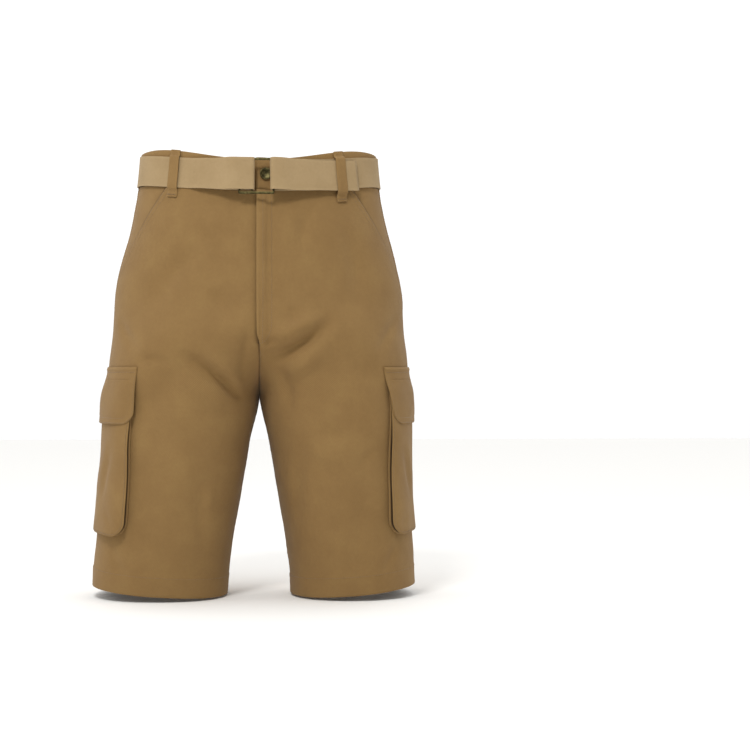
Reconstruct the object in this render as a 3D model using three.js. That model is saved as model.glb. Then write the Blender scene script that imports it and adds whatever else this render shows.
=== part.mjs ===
// Belted cargo shorts, filled out as worn. Millimetres, +Z up, the front faces -Y and the wearer's left is +X.
// The origin is at the middle of the waist opening, at the height of the belt at the side seams.
import * as THREE from 'three';

// --- Driving dimensions ---
const WALL = 1.8; // one ply of twill with its seam allowances
const SEAM = 0.3; // clearance between pieces that are sewn edge to edge
const HALF_SEAM = SEAM / 2;

const CROTCH_Z = -307; // height where the two legs part
const FORK_RISE = 140; // height over which the trunk narrows into two legs
const SWAY = { most: 6.5, from: -200 }; // the outer sides of both legs lean to the wearer's right, most at the hems
const HEM_Z = -571;
const HEM_DEPTH = 27; // turned-up hem
const HEM_WALL = 3.4; // two plies at the hem
const HEM_OUTER_RISE = 13; // the outer side of each hem is cut higher

const BAND_BOTTOM = -22; // waistband seam
const BAND_TOP = 20; // waistband rim at the side seams
const RIM_SWELL = 3.5; // the rim is a little higher between the side seams and centre front
const WAIST_DIP = { front: 13, back: 5 }; // how far the whole waist sinks at centre front and centre back
const WAIST_DIP_END = -130; // the sinking has faded out at this height

const FLY = { lap: 4, lift: 2.2, straightTo: -222, edgeEnd: -236, liftEnd: -258, fold: 12 };
const SLANT = { across: 90, topZ: -22, bottomZ: -195 }; // front pocket opening, across from the side seam
const HIP = { under: 9, lap: 22, bottomZ: -220, inset: 3.5, wall: 1.4 };

const BAND_LAP = { length: 30, inset: 2.8, from: 42, to: 10 }; // the waistband's right end passes under its left end

const BELT = { width: 40, centreZ: -3, thick: 2, inner: 1.9, outer: 9.5, stacked: 4.5 };
const BELT_TAIL = { endX: 125, sag: 5 };
const BELT_BULGE = { stand: 7, from: 28, reach: 98 }; // the belt stands off the waistband between the front loops
const BELT_FOLD = { endX: -68, clear: 3, settle: 26, turn: 3.8, rightX: 18.6, leftX: -12.9 };
const BUCKLE = { left: -27, right: 20, height: 48.6, rail: 3.1, bar: 2.6, midBar: -12.7, thick: 2, off: 4.2,
  edge: 0.4 };
const RING_STEP = 12.5; // spacing of the sections round the waist

const LOOP = { width: 14, wall: 1.6, below: 13, base: 1.4, over: 4.6, overTail: 7.4, rimGap: 0.4, flatEnd: 8 };
const LOOP_TURN = { headRise: 1.8, headTop: 0.9, footTop: 1.9, footEnd: 4.6 }; // where a loop bends round the belt
const POCKET = { front: 98, back: 92, topZ: -282, bottomZ: -495, corner: 22, wall: 1.2, columns: 4 };
const POCKET_STAND = { middle: 6.6, edge: 6, backEdge: 4.2, flatTo: 42, full: 92, topDrop: 0.6, dropFrom: -306 };
const PLEAT = { slit: 1.4, half: 11, ply: 1.6, beside: 6, clear: [12.5, 15.5] };
const GUSSET = { inset: 3.2, wall: 1.2, foot: 1.1, headGap: 1.6, pleatGap: 0.4 };
const FLAP = { front: 110, back: 103, topZ: -267, stepZ: -277, bottomZ: -341, corner: 14, wall: 1.4, gap: 1.7 };
const WELT = { start: 60, end: 200, slitZ: -101, height: 6.2, gap: 0.6, wall: 1.8 };
const BUTTON = { radius: 8, rim: 1.4, thick: 3, dish: 1.1, seat: 0.5 };
const BACK_BUTTON = { across: 131, z: -125 };
const WAIST_BUTTON = { x: 3.2, z: -1 };

// Horizontal sections of the body. half: centre line to side seam. inner: centre line to inseam.
// front, back: depth to each side of the side seam. round: 2 is an ellipse, more is squarer.
const SECTIONS = [
  { z: 26, half: 158.5, inner: 0, front: 97, back: 94, round: 2.12 },
  { z: 0, half: 160.5, inner: 0, front: 101, back: 96, round: 2.12 },
  { z: -28, half: 163.5, inner: 0, front: 106, back: 100, round: 2.14 },
  { z: -50, half: 167, inner: 0, front: 110, back: 107, round: 2.16 },
  { z: -82, half: 174, inner: 0, front: 115, back: 117, round: 2.2 },
  { z: -131, half: 187, inner: 0, front: 118, back: 135, round: 2.25 },
  { z: -163, half: 193, inner: 0, front: 121, back: 143, round: 2.3 },
  { z: -196, half: 195.5, inner: 0, front: 124, back: 146, round: 2.3 },
  { z: -225, half: 197.5, inner: 0, front: 125, back: 145, round: 2.3 },
  { z: -261, half: 201.5, inner: 0, front: 119, back: 140, round: 2.3 },
  { z: -307, half: 204, inner: 0, front: 112, back: 129, round: 2.25 },
  { z: -360, half: 205, inner: 11.5, front: 109, back: 121, round: 2.2 },
  { z: -408, half: 206.5, inner: 20, front: 106, back: 113, round: 2.2 },
  { z: -457, half: 209.5, inner: 29, front: 103, back: 106, round: 2.2 },
  { z: -506, half: 213.5, inner: 36.5, front: 99, back: 101, round: 2.2 },
  { z: -540, half: 216, inner: 41, front: 96, back: 97, round: 2.2 },
  { z: -571, half: 217, inner: 43, front: 94, back: 95, round: 2.2 },
];

// The largest folds. across: mm from the side seam, positive to the front. slant: degrees, positive leans the top
// towards the side seam. run and spread are half sizes. lift: mm, negative for a trough.
const FOLDS = [
  { side: -1, across: 146, z: -300, slant: -48, run: 88, spread: 20, lift: -4.2 },
  { side: -1, across: 120, z: -262, slant: -40, run: 80, spread: 24, lift: 2.6 },
  { side: 1, across: 136, z: -272, slant: -52, run: 66, spread: 18, lift: -3.6 },
  { side: 1, across: 120, z: -318, slant: -35, run: 75, spread: 24, lift: 2.6 },
  { side: -1, across: 128, z: -470, slant: 6, run: 100, spread: 24, lift: -3.4 },
  { side: 1, across: 136, z: -455, slant: -8, run: 105, spread: 24, lift: -3.2 },
  { side: -1, across: -140, z: -275, slant: 50, run: 90, spread: 22, lift: -3.8 },
  { side: 1, across: -132, z: -292, slant: 44, run: 95, spread: 22, lift: -4 },
  { side: -1, across: -120, z: -455, slant: -7, run: 95, spread: 26, lift: -3.2 },
  { side: 1, across: -128, z: -470, slant: 9, run: 90, spread: 26, lift: -3.4 },
];

// Heights of the panel rows, closer together where the crotch curves.
const PANEL_ROWS = [
  BAND_BOTTOM, -38, -60, -94, -131, -168, -200, FLY.straightTo, FLY.edgeEnd, FLY.liftEnd, -272, -286, -296, -303,
  CROTCH_Z, -316, -334, -362, -398, -436, -476, -512, HEM_Z + HEM_DEPTH + SEAM, HEM_Z + HEM_DEPTH, HEM_Z,
];
const PANEL_COLUMNS = 12;
const EDGE_COLUMN = 9; // width of the narrow columns along the inner edge

// --- The form ---
const clamp01 = (t) => Math.min(1, Math.max(0, t));
const smooth = (t) => clamp01(t) ** 2 * (3 - 2 * clamp01(t));
const lerp = THREE.MathUtils.lerp;
const radians = THREE.MathUtils.degToRad;
const signedPower = (value, power) => Math.sign(value) * Math.abs(value) ** power;

// One column of SECTIONS at any height, by a cubic through its rows.
function column(name, z) {
  const last = SECTIONS.length - 1;
  let i = 0;
  while (i < last - 1 && z < SECTIONS[i + 1].z) i += 1;
  const row = (k) => SECTIONS[Math.min(last, Math.max(0, k))];
  const slope = (k) => {
    const above = row(k - 1);
    const below = row(k + 1);
    return (below[name] - above[name]) / (below.z - above.z);
  };
  const step = row(i + 1).z - row(i).z;
  const t = clamp01((z - row(i).z) / step);
  const start = row(i)[name];
  const end = row(i + 1)[name];
  const startPull = slope(i) * step;
  const endPull = slope(i + 1) * step;
  return (2 * t ** 3 - 3 * t ** 2 + 1) * start + (t ** 3 - 2 * t ** 2 + t) * startPull
    + (3 * t ** 2 - 2 * t ** 3) * end + (t ** 3 - t ** 2) * endPull;
}

// The tube of one leg at a height. Above the crotch its centre slides to the middle, until both are one trunk.
function section(z) {
  const half = column('half', z);
  const shape = { front: column('front', z), back: column('back', z), power: 2 / column('round', z) };
  if (z > CROTCH_Z) {
    const shift = 1 - smooth((z - CROTCH_Z) / FORK_RISE);
    shape.radius = half / (1 + shift);
    shape.centre = shape.radius * shift;
  } else {
    const inner = column('inner', z);
    shape.radius = (half - inner) / 2;
    shape.centre = (half + inner) / 2;
  }
  return shape;
}

// angle: 0 at the side seam, positive round the front, pi at the inseam, negative round the back.
function sectionPoint(shape, angle) {
  const depth = angle > 0 ? shape.front : shape.back;
  return {
    x: shape.centre + shape.radius * signedPower(Math.cos(angle), shape.power),
    y: -depth * signedPower(Math.sin(angle), shape.power),
  };
}

// Angle where the tube reaches a given x, on its inner side.
function angleAtX(shape, x) {
  const reach = THREE.MathUtils.clamp((x - shape.centre) / shape.radius, -1, 1);
  return Math.acos(signedPower(reach, 1 / shape.power));
}

// Distance round a section against its angle, kept for each height.
const ARC_STEPS = 96;
const arcTables = new Map();
function arcTable(z) {
  const key = z.toFixed(3);
  if (arcTables.has(key)) return arcTables.get(key);
  const shape = section(z);
  const table = [1, -1].map((way) => {
    const across = [0];
    let before = sectionPoint(shape, 0);
    for (let i = 1; i <= ARC_STEPS; i += 1) {
      const point = sectionPoint(shape, (way * Math.PI * i) / ARC_STEPS);
      across.push(across[i - 1] + Math.hypot(point.x - before.x, point.y - before.y));
      before = point;
    }
    return across;
  });
  arcTables.set(key, table);
  return table;
}

function angleAt(z, across) {
  const table = arcTable(z)[across < 0 ? 1 : 0];
  const distance = Math.abs(across);
  let i = 1;
  while (i < ARC_STEPS && table[i] < distance) i += 1;
  const part = (distance - table[i - 1]) / (table[i] - table[i - 1]);
  return (Math.sign(across) * Math.PI * (i - 1 + part)) / ARC_STEPS;
}

function acrossAt(z, angle) {
  const table = arcTable(z)[angle < 0 ? 1 : 0];
  const place = Math.min((Math.abs(angle) / Math.PI) * ARC_STEPS, ARC_STEPS - 1e-6);
  const i = Math.floor(place);
  return Math.sign(angle) * lerp(table[i], table[i + 1], place - i);
}

// The waist sinks at centre front and back, and the outer side of the hem is higher.
function rowShift(z, angle) {
  const fade = smooth((z - WAIST_DIP_END) / (BAND_BOTTOM - WAIST_DIP_END));
  const dip = angle > 0 ? WAIST_DIP.front : WAIST_DIP.back;
  const low = smooth((CROTCH_Z - z) / (CROTCH_Z - HEM_Z));
  const outer = ((1 + Math.cos(angle)) / 2) ** 1.5;
  return HEM_OUTER_RISE * low * outer - dip * fade * Math.sin(angle) ** 4;
}

function foldLift(side, across, z) {
  let lift = 0;
  for (const fold of FOLDS) {
    if (fold.side !== side) continue;
    const tilt = radians(fold.slant);
    const right = across - fold.across;
    const up = z - fold.z;
    const along = (up * Math.cos(tilt) - right * Math.sin(tilt)) / fold.run;
    const aside = (right * Math.cos(tilt) + up * Math.sin(tilt)) / fold.spread;
    if (Math.abs(along) < 1) lift += fold.lift * (1 - along ** 2) ** 2 * Math.exp(-(aside ** 2));
  }
  return lift;
}

// 1 at the side seam, 0 at the inseam or the centre line.
const outerShare = (shape, x) => smooth((x - Math.max(0, shape.centre - shape.radius)) / (2 * shape.radius));

// A point of the body, moved out along its normal by off. side is 1 for the wearer's left, -1 for the right.
const SLOPE_STEP = 2;
function formPoint(side, z, angle, off) {
  const shape = section(z);
  const base = sectionPoint(shape, angle);
  const depth = angle > 0 ? shape.front : shape.back;
  const steep = 2 / shape.power - 1;
  const outX = signedPower((base.x - shape.centre) / shape.radius, steep) / shape.radius;
  const outY = signedPower(base.y / depth, steep) / depth;
  const above = sectionPoint(section(z + SLOPE_STEP), angle);
  const below = sectionPoint(section(z - SLOPE_STEP), angle);
  const rise = new THREE.Vector3(above.x - below.x, above.y - below.y, 2 * SLOPE_STEP);
  const normal = new THREE.Vector3(-outY, outX, 0).cross(rise).normalize();
  if (normal.x * outX + normal.y * outY < 0) normal.negate();
  const lift = off + foldLift(side, acrossAt(z, angle), z);
  const sway = SWAY.most * smooth((SWAY.from - z) / (SWAY.from - HEM_Z)) * outerShare(shape, base.x);
  return new THREE.Vector3(
    side * (base.x + normal.x * lift) - sway,
    base.y + normal.y * lift,
    z + rowShift(z, angle) + normal.z * lift,
  );
}

const acrossPoint = (side, z, across, off) => formPoint(side, z, angleAt(z, across), off);

// --- Meshes from grids of points ---
// A wall between an outer and an inner grid of the same size, closed along its four edges.
function wallGeometry(outer, inner) {
  const rows = outer.length;
  const columns = outer[0].length;
  const points = [...outer.flat(), ...inner.flat()];
  const innerStart = rows * columns;
  const faces = [];
  const quad = (a, b, c, d) => faces.push(a, b, c, a, c, d);
  for (let i = 0; i < rows - 1; i += 1) {
    for (let j = 0; j < columns - 1; j += 1) {
      const a = i * columns + j;
      const c = a + columns + 1;
      quad(a, a + columns, c, a + 1);
      quad(a + innerStart, a + 1 + innerStart, c + innerStart, a + columns + innerStart);
    }
  }
  const rim = [];
  for (let j = 0; j < columns - 1; j += 1) rim.push(j);
  for (let i = 0; i < rows - 1; i += 1) rim.push(i * columns + columns - 1);
  for (let j = columns - 1; j > 0; j -= 1) rim.push((rows - 1) * columns + j);
  for (let i = rows - 1; i > 0; i -= 1) rim.push(i * columns);
  rim.forEach((a, k) => {
    const b = rim[(k + 1) % rim.length];
    quad(a, b, b + innerStart, a + innerStart);
  });
  return facingOut(points, faces);
}

function facingOut(points, faces) {
  let volume = 0;
  for (let i = 0; i < faces.length; i += 3) {
    const [a, b, c] = [points[faces[i]], points[faces[i + 1]], points[faces[i + 2]]];
    volume += a.dot(new THREE.Vector3().crossVectors(b, c));
  }
  if (volume < 0) {
    for (let i = 0; i < faces.length; i += 3) [faces[i + 1], faces[i + 2]] = [faces[i + 2], faces[i + 1]];
  }
  const geometry = new THREE.BufferGeometry().setFromPoints(points);
  geometry.setIndex(faces);
  geometry.computeVertexNormals();
  return geometry;
}

// Gives a flat path its thickness: the path moved half a wall to each side, with mitred corners.
const SHARPEST_MITRE = 0.3;
function thicken(path, thickness) {
  const sides = { left: [], right: [] };
  path.forEach((point, i) => {
    const back = path[Math.max(0, i - 1)];
    const next = path[Math.min(path.length - 1, i + 1)];
    const into = new THREE.Vector2().subVectors(i ? point : next, i ? back : point).normalize();
    const out = new THREE.Vector2().subVectors(i < path.length - 1 ? next : point, i < path.length - 1 ? point : back)
      .normalize();
    const across = new THREE.Vector2(-into.y - out.y, into.x + out.x).normalize();
    const reach = thickness / 2 / Math.max(SHARPEST_MITRE, across.dot(new THREE.Vector2(-into.y, into.x)));
    sides.left.push(point.clone().addScaledVector(across, reach));
    sides.right.push(point.clone().addScaledVector(across, -reach));
  });
  return sides;
}

const evenly = (from, to, count) => Array.from({ length: count + 1 }, (_, i) => lerp(from, to, i / count));
const steps = (from, to, most) => evenly(from, to, Math.max(1, Math.ceil(Math.abs(to - from) / most)));

// --- Leg panels ---
const hemWall = (z) => (z <= HEM_Z + HEM_DEPTH ? HEM_WALL : WALL);
const slantEdge = (z) => SLANT.across * clamp01((z - SLANT.bottomZ) / (SLANT.topZ - SLANT.bottomZ));

// The wearer's left front laps over the right one at the fly, and stands proud of it there.
function flyEdge(z, laps) {
  if (z < CROTCH_Z) return HALF_SEAM;
  const part = laps ? 1 - clamp01((z - FLY.straightTo) / (FLY.edgeEnd - FLY.straightTo)) : 0;
  return HALF_SEAM - (FLY.lap + HALF_SEAM) * part;
}

function flyLift(z, x, laps) {
  if (!laps) return 0;
  const fade = 1 - smooth((z - FLY.edgeEnd) / (FLY.liftEnd - FLY.edgeEnd));
  return FLY.lift * fade * smooth((FLY.fold - x) / (FLY.fold / 2));
}

function panelGeometry(side, way) {
  const isFront = way > 0;
  const laps = isFront && side > 0;
  const layer = (depth) => PANEL_ROWS.map((z) => {
    const shape = section(z);
    const middle = way * acrossAt(z, way * (z > CROTCH_Z ? angleAtX(shape, 0) : Math.PI));
    const inseam = middle + Math.max(0, -flyEdge(z, laps));
    const start = isFront ? slantEdge(z) : 0;
    const columns = evenly(start, inseam - 2 * EDGE_COLUMN, PANEL_COLUMNS - 2);
    return [...columns, inseam - EDGE_COLUMN, inseam].map((across) => {
      const over = across > middle; // past centre front the lap follows the other half of the body
      const angle = angleAt(z, way * Math.max(HALF_SEAM, over ? 2 * middle - across : across));
      const lift = flyLift(z, over ? 0 : sectionPoint(shape, angle).x, laps);
      const point = formPoint(over ? -side : side, z, angle, lift - depth(z));
      point.y = -way * Math.max(HALF_SEAM, -way * point.y);
      point.x = side * Math.max(flyEdge(z, laps), side * point.x);
      return point;
    });
  });
  return wallGeometry(layer(() => 0), layer(hemWall));
}

// The hip piece shows behind the slanted opening, and laps under the front and the back.
function hipGeometry(side) {
  const rows = steps(BAND_BOTTOM - SEAM, HIP.bottomZ, 33);
  const columns = 6;
  const layer = (inset) => rows.map((z) => Array.from({ length: columns + 1 }, (_, j) => (
    acrossPoint(side, z, lerp(-HIP.under, slantEdge(z) + HIP.lap, j / columns), -inset))));
  return wallGeometry(layer(HIP.inset), layer(HIP.inset + HIP.wall));
}

// --- Round the waist ---
// A place round the waist is its distance from centre front, positive to the wearer's left.
const frontQuarter = acrossAt(0, Math.PI / 2);
const backQuarter = -acrossAt(0, -Math.PI / 2);
const waistRound = 2 * (frontQuarter + backQuarter);

function waistPoint(place, z, off) {
  const turns = place - waistRound * Math.round(place / waistRound);
  const side = turns < 0 ? -1 : 1;
  const angle = angleAt(0, frontQuarter - Math.abs(turns));
  return formPoint(side, z, angle, off);
}

const placeAtX = (x) => Math.sign(x) * (frontQuarter - acrossAt(0, angleAtX(section(0), Math.abs(x))));

const waistAngle = (place) => angleAt(0, frontQuarter - Math.abs(place - waistRound * Math.round(place / waistRound)));

function rimZ(place) {
  const angle = waistAngle(place);
  return angle > 0 ? BAND_TOP + RIM_SWELL * Math.sin(2 * angle) ** 2 - Math.sin(angle) ** 4 : BAND_TOP;
}

// The belt's middle sinks more evenly to the front than the waist does, and bulges out there.
function beltZ(place) {
  const bow = waistAngle(place) > 0 ? Math.sin(waistAngle(place)) ** 2 : 0;
  return BELT.centreZ - WAIST_DIP.front * (bow - bow ** 2);
}

function beltBulge(place) {
  const turns = Math.abs(place - waistRound * Math.round(place / waistRound));
  return BELT_BULGE.stand * (1 - smooth((turns - BELT_BULGE.from) / (BELT_BULGE.reach - BELT_BULGE.from)));
}

// One band, whose right end passes under its left end at centre front.
function waistbandGeometry() {
  const under = BAND_LAP;
  const places = steps(-FLY.lap, waistRound + under.length, RING_STEP);
  const layer = (depth) => [BAND_BOTTOM + SEAM, BAND_TOP].map((z) => places.map((place) => {
    const inset = under.inset * smooth((place - waistRound + under.from) / (under.from - under.to));
    const height = z === BAND_TOP ? rimZ(place) : z;
    return waistPoint(place, height, -inset - depth);
  }));
  return wallGeometry(layer(0), layer(WALL));
}

// The belt's route, as (place, off): from its free end back to the buckle, round the waist and round the buckle again.
function beltRoute() {
  const turn = (x, way) => {
    const points = [];
    for (let i = 0; i <= 6; i += 1) {
      const angle = Math.PI * (i / 6) * way + Math.PI / 2;
      points.push(new THREE.Vector2(x + BELT_FOLD.turn * Math.cos(angle), 0));
      points[i].y = (BELT.inner + BELT.outer) / 2 + BELT_FOLD.turn * Math.sin(angle);
    }
    return points;
  };
  const tailEnd = placeAtX(BELT_TAIL.endX);
  const foldEnd = waistRound + BELT_FOLD.endX;
  const leftTurn = waistRound + BELT_FOLD.leftX;
  const outerRun = (from, to, settled) => steps(from, to, RING_STEP)
    .map((place) => new THREE.Vector2(place, settled(place)));
  const settled = (past) => lerp(BELT.outer, BELT.stacked, smooth(past / BELT_FOLD.settle));
  const tailSettled = (place) => settled(place - BUCKLE.right - BELT_FOLD.clear);
  const foldSettled = (place) => settled(waistRound + BUCKLE.left - BELT_FOLD.clear - place);
  return {
    points: [
      ...outerRun(tailEnd, BELT_FOLD.rightX + 2, tailSettled),
      ...turn(BELT_FOLD.rightX, 1),
      ...steps(BELT_FOLD.rightX + 2, leftTurn - 2, RING_STEP).map((place) => new THREE.Vector2(place, BELT.inner)),
      ...turn(leftTurn, 1).map((point) => new THREE.Vector2(2 * leftTurn - point.x, point.y)).reverse(),
      ...outerRun(leftTurn - 2, foldEnd, foldSettled),
    ],
    tailEnd,
  };
}

function beltGeometry() {
  const route = beltRoute();
  const plies = thicken(route.points, BELT.thick);
  const tail = (point) => {
    const outerPly = point.y > BELT.inner + BELT.thick / 2 + 0.1 && point.x < route.tailEnd + 1;
    const along = clamp01((point.x - BELT_FOLD.rightX) / (route.tailEnd - BELT_FOLD.rightX));
    return outerPly ? -BELT_TAIL.sag * along : 0;
  };
  const layer = (ply) => [-1, 1].map((edge) => ply.map((point, i) => {
    const height = beltZ(point.x) + (edge * BELT.width) / 2 + tail(route.points[i]);
    return waistPoint(point.x, height, point.y + beltBulge(point.x));
  }));
  return wallGeometry(layer(plies.left), layer(plies.right));
}

function beltLoopGeometry(place, over, tailSag) {
  const middle = beltZ(place);
  const beltTop = middle + BELT.width / 2;
  const beltBottom = middle - BELT.width / 2 - tailSag;
  const route = [
    [rimZ(place) - LOOP.rimGap, LOOP.base], [beltTop + LOOP_TURN.headRise, LOOP.base + 1],
    [beltTop + LOOP_TURN.headTop, over], [beltTop - LOOP.flatEnd, over], [middle, over],
    [beltBottom + LOOP.flatEnd, over], [beltBottom - LOOP_TURN.footTop, over],
    [beltBottom - LOOP_TURN.footEnd, LOOP.base], [beltBottom - LOOP.below, LOOP.base],
  ].map(([z, off]) => new THREE.Vector2(z, off));
  const plies = thicken(route, LOOP.wall);
  const layer = (ply) => ply.map((point) => steps(-LOOP.width / 2, LOOP.width / 2, LOOP.width / 2)
    .map((aside) => waistPoint(place + aside, point.x, point.y)));
  return wallGeometry(layer(plies.left), layer(plies.right));
}

// --- Buckle and buttons ---
// A frame of axes on the waist: x level, y up along the cloth, z out of it.
function waistFrame(place, z, off) {
  const point = waistPoint(place, z, off);
  const out = waistPoint(place, z, off + 1).sub(point).normalize();
  const level = new THREE.Vector3(-out.y, out.x, 0).normalize();
  return new THREE.Matrix4().makeBasis(level, new THREE.Vector3().crossVectors(out, level), out).setPosition(point);
}

function roundedRectangle(path, left, right, low, high, radius) {
  path.moveTo(left + radius, low);
  path.lineTo(right - radius, low);
  path.absarc(right - radius, low + radius, radius, -Math.PI / 2, 0, false);
  path.lineTo(right, high - radius);
  path.absarc(right - radius, high - radius, radius, 0, Math.PI / 2, false);
  path.lineTo(left + radius, high);
  path.absarc(left + radius, high - radius, radius, Math.PI / 2, Math.PI, false);
  path.lineTo(left, low + radius);
  path.absarc(left + radius, low + radius, radius, Math.PI, 1.5 * Math.PI, false);
  return path;
}

const buckleMiddle = (BUCKLE.left + BUCKLE.right) / 2;

function buckleGeometry() {
  const { left, right, height, rail, bar, midBar, thick, edge } = BUCKLE;
  const shape = roundedRectangle(new THREE.Shape(), left, right, -height / 2, height / 2, 4);
  const window = (from, to) => roundedRectangle(
    new THREE.Path(), from, to, -height / 2 + rail, height / 2 - rail, 1.2);
  shape.holes.push(window(left + bar, midBar - bar / 2), window(midBar + bar / 2, right - bar));
  return new THREE.ExtrudeGeometry(shape, {
    depth: thick - 2 * edge, bevelEnabled: true, bevelSize: edge, bevelThickness: edge, bevelOffset: -edge,
    bevelSegments: 1, curveSegments: 2,
  }).translate(-buckleMiddle, 0, edge);
}

function buttonGeometry() {
  const { radius, rim, thick, dish } = BUTTON;
  const profile = [
    [0, 0], [radius - 0.6, 0], [radius, 0.7], [radius, thick - 0.6], [radius - 0.6, thick],
    [radius - rim, thick], [radius - rim - 0.8, thick - dish], [0, thick - dish],
  ].map(([x, y]) => new THREE.Vector2(x, y));
  return new THREE.LatheGeometry(profile, 16).rotateX(Math.PI / 2);
}

// --- Cargo pockets ---
// The bellows stand furthest off the leg at their edges, and close towards the flap.
function pocketLift(across, z) {
  const { middle, edge, backEdge, flatTo, full, topDrop, dropFrom } = POCKET_STAND;
  return middle + (across < 0 ? backEdge : edge) * smooth((Math.abs(across) - flatTo) / (full - flatTo))
    - topDrop * smooth((z - dropFrom) / (POCKET.topZ - dropFrom));
}

// How far a panel with rounded lower corners reaches at height z.
function reachAt(z, width, bottomZ, corner) {
  const into = Math.max(0, bottomZ + corner - z);
  return width - (corner - Math.sqrt(Math.max(0, corner ** 2 - into ** 2)));
}

const cornerRows = (bottomZ, corner) => [60, 30, 0].map((angle) => bottomZ + corner * (1 - Math.cos(radians(angle))));

function pocketGeometry(side) {
  const rows = [...steps(POCKET.topZ, POCKET.bottomZ + POCKET.corner, 48),
    ...cornerRows(POCKET.bottomZ, POCKET.corner)];
  const layers = { left: [], right: [] };
  for (const z of rows) {
    const front = reachAt(z, POCKET.front, POCKET.bottomZ, POCKET.corner);
    const back = reachAt(z, POCKET.back, POCKET.bottomZ, POCKET.corner);
    const slit = PLEAT.slit / 2 + POCKET.wall / 2;
    const path = [
      ...evenly(-back, -PLEAT.half - PLEAT.beside, POCKET.columns).map((across) => [across, 0]),
      [-slit, 0], [-slit, -PLEAT.ply], [-PLEAT.half, -PLEAT.ply], [-PLEAT.half, -2 * PLEAT.ply],
      [PLEAT.half, -2 * PLEAT.ply], [PLEAT.half, -PLEAT.ply], [slit, -PLEAT.ply], [slit, 0],
      ...evenly(PLEAT.half + PLEAT.beside, front, POCKET.columns).map((across) => [across, 0]),
    ].map(([x, y]) => new THREE.Vector2(x, y));
    const plies = thicken(path, POCKET.wall);
    for (const ply of ['left', 'right']) {
      layers[ply].push(plies[ply].map((point) => acrossPoint(
        side, z, point.x, pocketLift(point.x, z) - POCKET.wall / 2 + point.y)));
    }
  }
  return wallGeometry(layers.left, layers.right);
}

// The bellows strip runs down the front edge of the pocket, along its bottom and up its back edge.
function gussetGeometry(side) {
  const { inset, wall, foot, headGap, pleatGap } = GUSSET;
  const corner = POCKET.corner - inset;
  const low = POCKET.bottomZ + inset + corner;
  const bend = (across, way) => [0, 22.5, 45, 67.5, 90].map((angle) => [
    across - way * (corner - corner * Math.cos(radians(angle))), low - corner * Math.sin(radians(angle))]);
  const front = bend(POCKET.front - inset, 1);
  const back = bend(-POCKET.back + inset, -1).reverse();
  const route = [
    ...steps(POCKET.topZ, low, 48).slice(0, -1).map((z) => [POCKET.front - inset, z]),
    ...front,
    ...[...evenly(front.at(-1)[0], PLEAT.clear[1], 3).slice(1), PLEAT.clear[0], -PLEAT.clear[0],
      ...evenly(-PLEAT.clear[1], back[0][0], 3).slice(0, -1)].map((across) => [across, POCKET.bottomZ + inset]),
    ...back,
    ...steps(low, POCKET.topZ, 48).slice(1).map((z) => [-POCKET.back + inset, z]),
  ].map(([x, y]) => new THREE.Vector2(x, y));
  const plies = thicken(route, wall);
  const layer = (ply) => [0, 1].map((head) => ply.map((point) => {
    const gap = Math.abs(point.x) < PLEAT.clear[0] + 1 ? 2 * PLEAT.ply + pleatGap : headGap;
    const top = pocketLift(point.x, point.y) - POCKET.wall - gap;
    return acrossPoint(side, point.y, point.x, head ? top : foot);
  }));
  return wallGeometry(layer(plies.left), layer(plies.right));
}

function flapGeometry(side) {
  const rows = [FLAP.topZ, lerp(FLAP.topZ, FLAP.stepZ, 0.5), FLAP.stepZ,
    ...steps(FLAP.stepZ, FLAP.bottomZ + FLAP.corner, 26).slice(1), ...cornerRows(FLAP.bottomZ, FLAP.corner)];
  const columns = 11;
  const layer = (inward) => rows.map((z) => {
    const front = reachAt(z, FLAP.front, FLAP.bottomZ, FLAP.corner);
    const back = reachAt(z, FLAP.back, FLAP.bottomZ, FLAP.corner);
    return Array.from({ length: columns + 1 }, (_, j) => {
      const across = lerp(-back, front, j / columns);
      const stand = smooth((FLAP.topZ - z) / (FLAP.topZ - FLAP.stepZ));
      const over = pocketLift(across, z) + FLAP.gap;
      return acrossPoint(side, z, across, lerp(GUSSET.foot, over, stand) + FLAP.wall - inward);
    });
  });
  return wallGeometry(layer(0), layer(FLAP.wall));
}

// --- Back welts ---
function weltGeometry(side, way) {
  const near = WELT.slitZ + (way * WELT.gap) / 2;
  const layer = (off) => [near, near + way * WELT.height].map((z) => steps(-WELT.start, -WELT.end, 16)
    .map((across) => acrossPoint(side, z, across, off)));
  return wallGeometry(layer(GUSSET.foot + WELT.wall), layer(GUSSET.foot));
}

// --- Materials ---
const finish = (color, roughness, metalness = 0) => new THREE.MeshStandardMaterial({ color, roughness, metalness });
const twill = finish(0x92744c, 0.9);
const webbing = finish(0xab9270, 0.85);
const antiqueBrass = finish(0x5e5434, 0.42, 0.9);
const horn = finish(0x8a6c46, 0.5);

// --- The garment ---
const shorts = new THREE.Group();
function add(name, geometry, material, matrix) {
  const mesh = new THREE.Mesh(geometry, material);
  mesh.name = name;
  if (matrix) mesh.applyMatrix4(matrix);
  shorts.add(mesh);
}

for (const [hand, side] of [['left', 1], ['right', -1]]) {
  add(`front_${hand}`, panelGeometry(side, 1), twill);
  add(`back_${hand}`, panelGeometry(side, -1), twill);
  add(`hip_${hand}`, hipGeometry(side), twill);
  add(`cargo_pocket_${hand}`, pocketGeometry(side), twill);
  add(`cargo_gusset_${hand}`, gussetGeometry(side), twill);
  add(`cargo_flap_${hand}`, flapGeometry(side), twill);
  add(`welt_upper_${hand}`, weltGeometry(side, 1), twill);
  add(`welt_lower_${hand}`, weltGeometry(side, -1), twill);
  const buttonPlace = side * (frontQuarter + BACK_BUTTON.across);
  add(`back_button_${hand}`, buttonGeometry(), horn, waistFrame(buttonPlace, BACK_BUTTON.z, BUTTON.seat));
}

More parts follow.
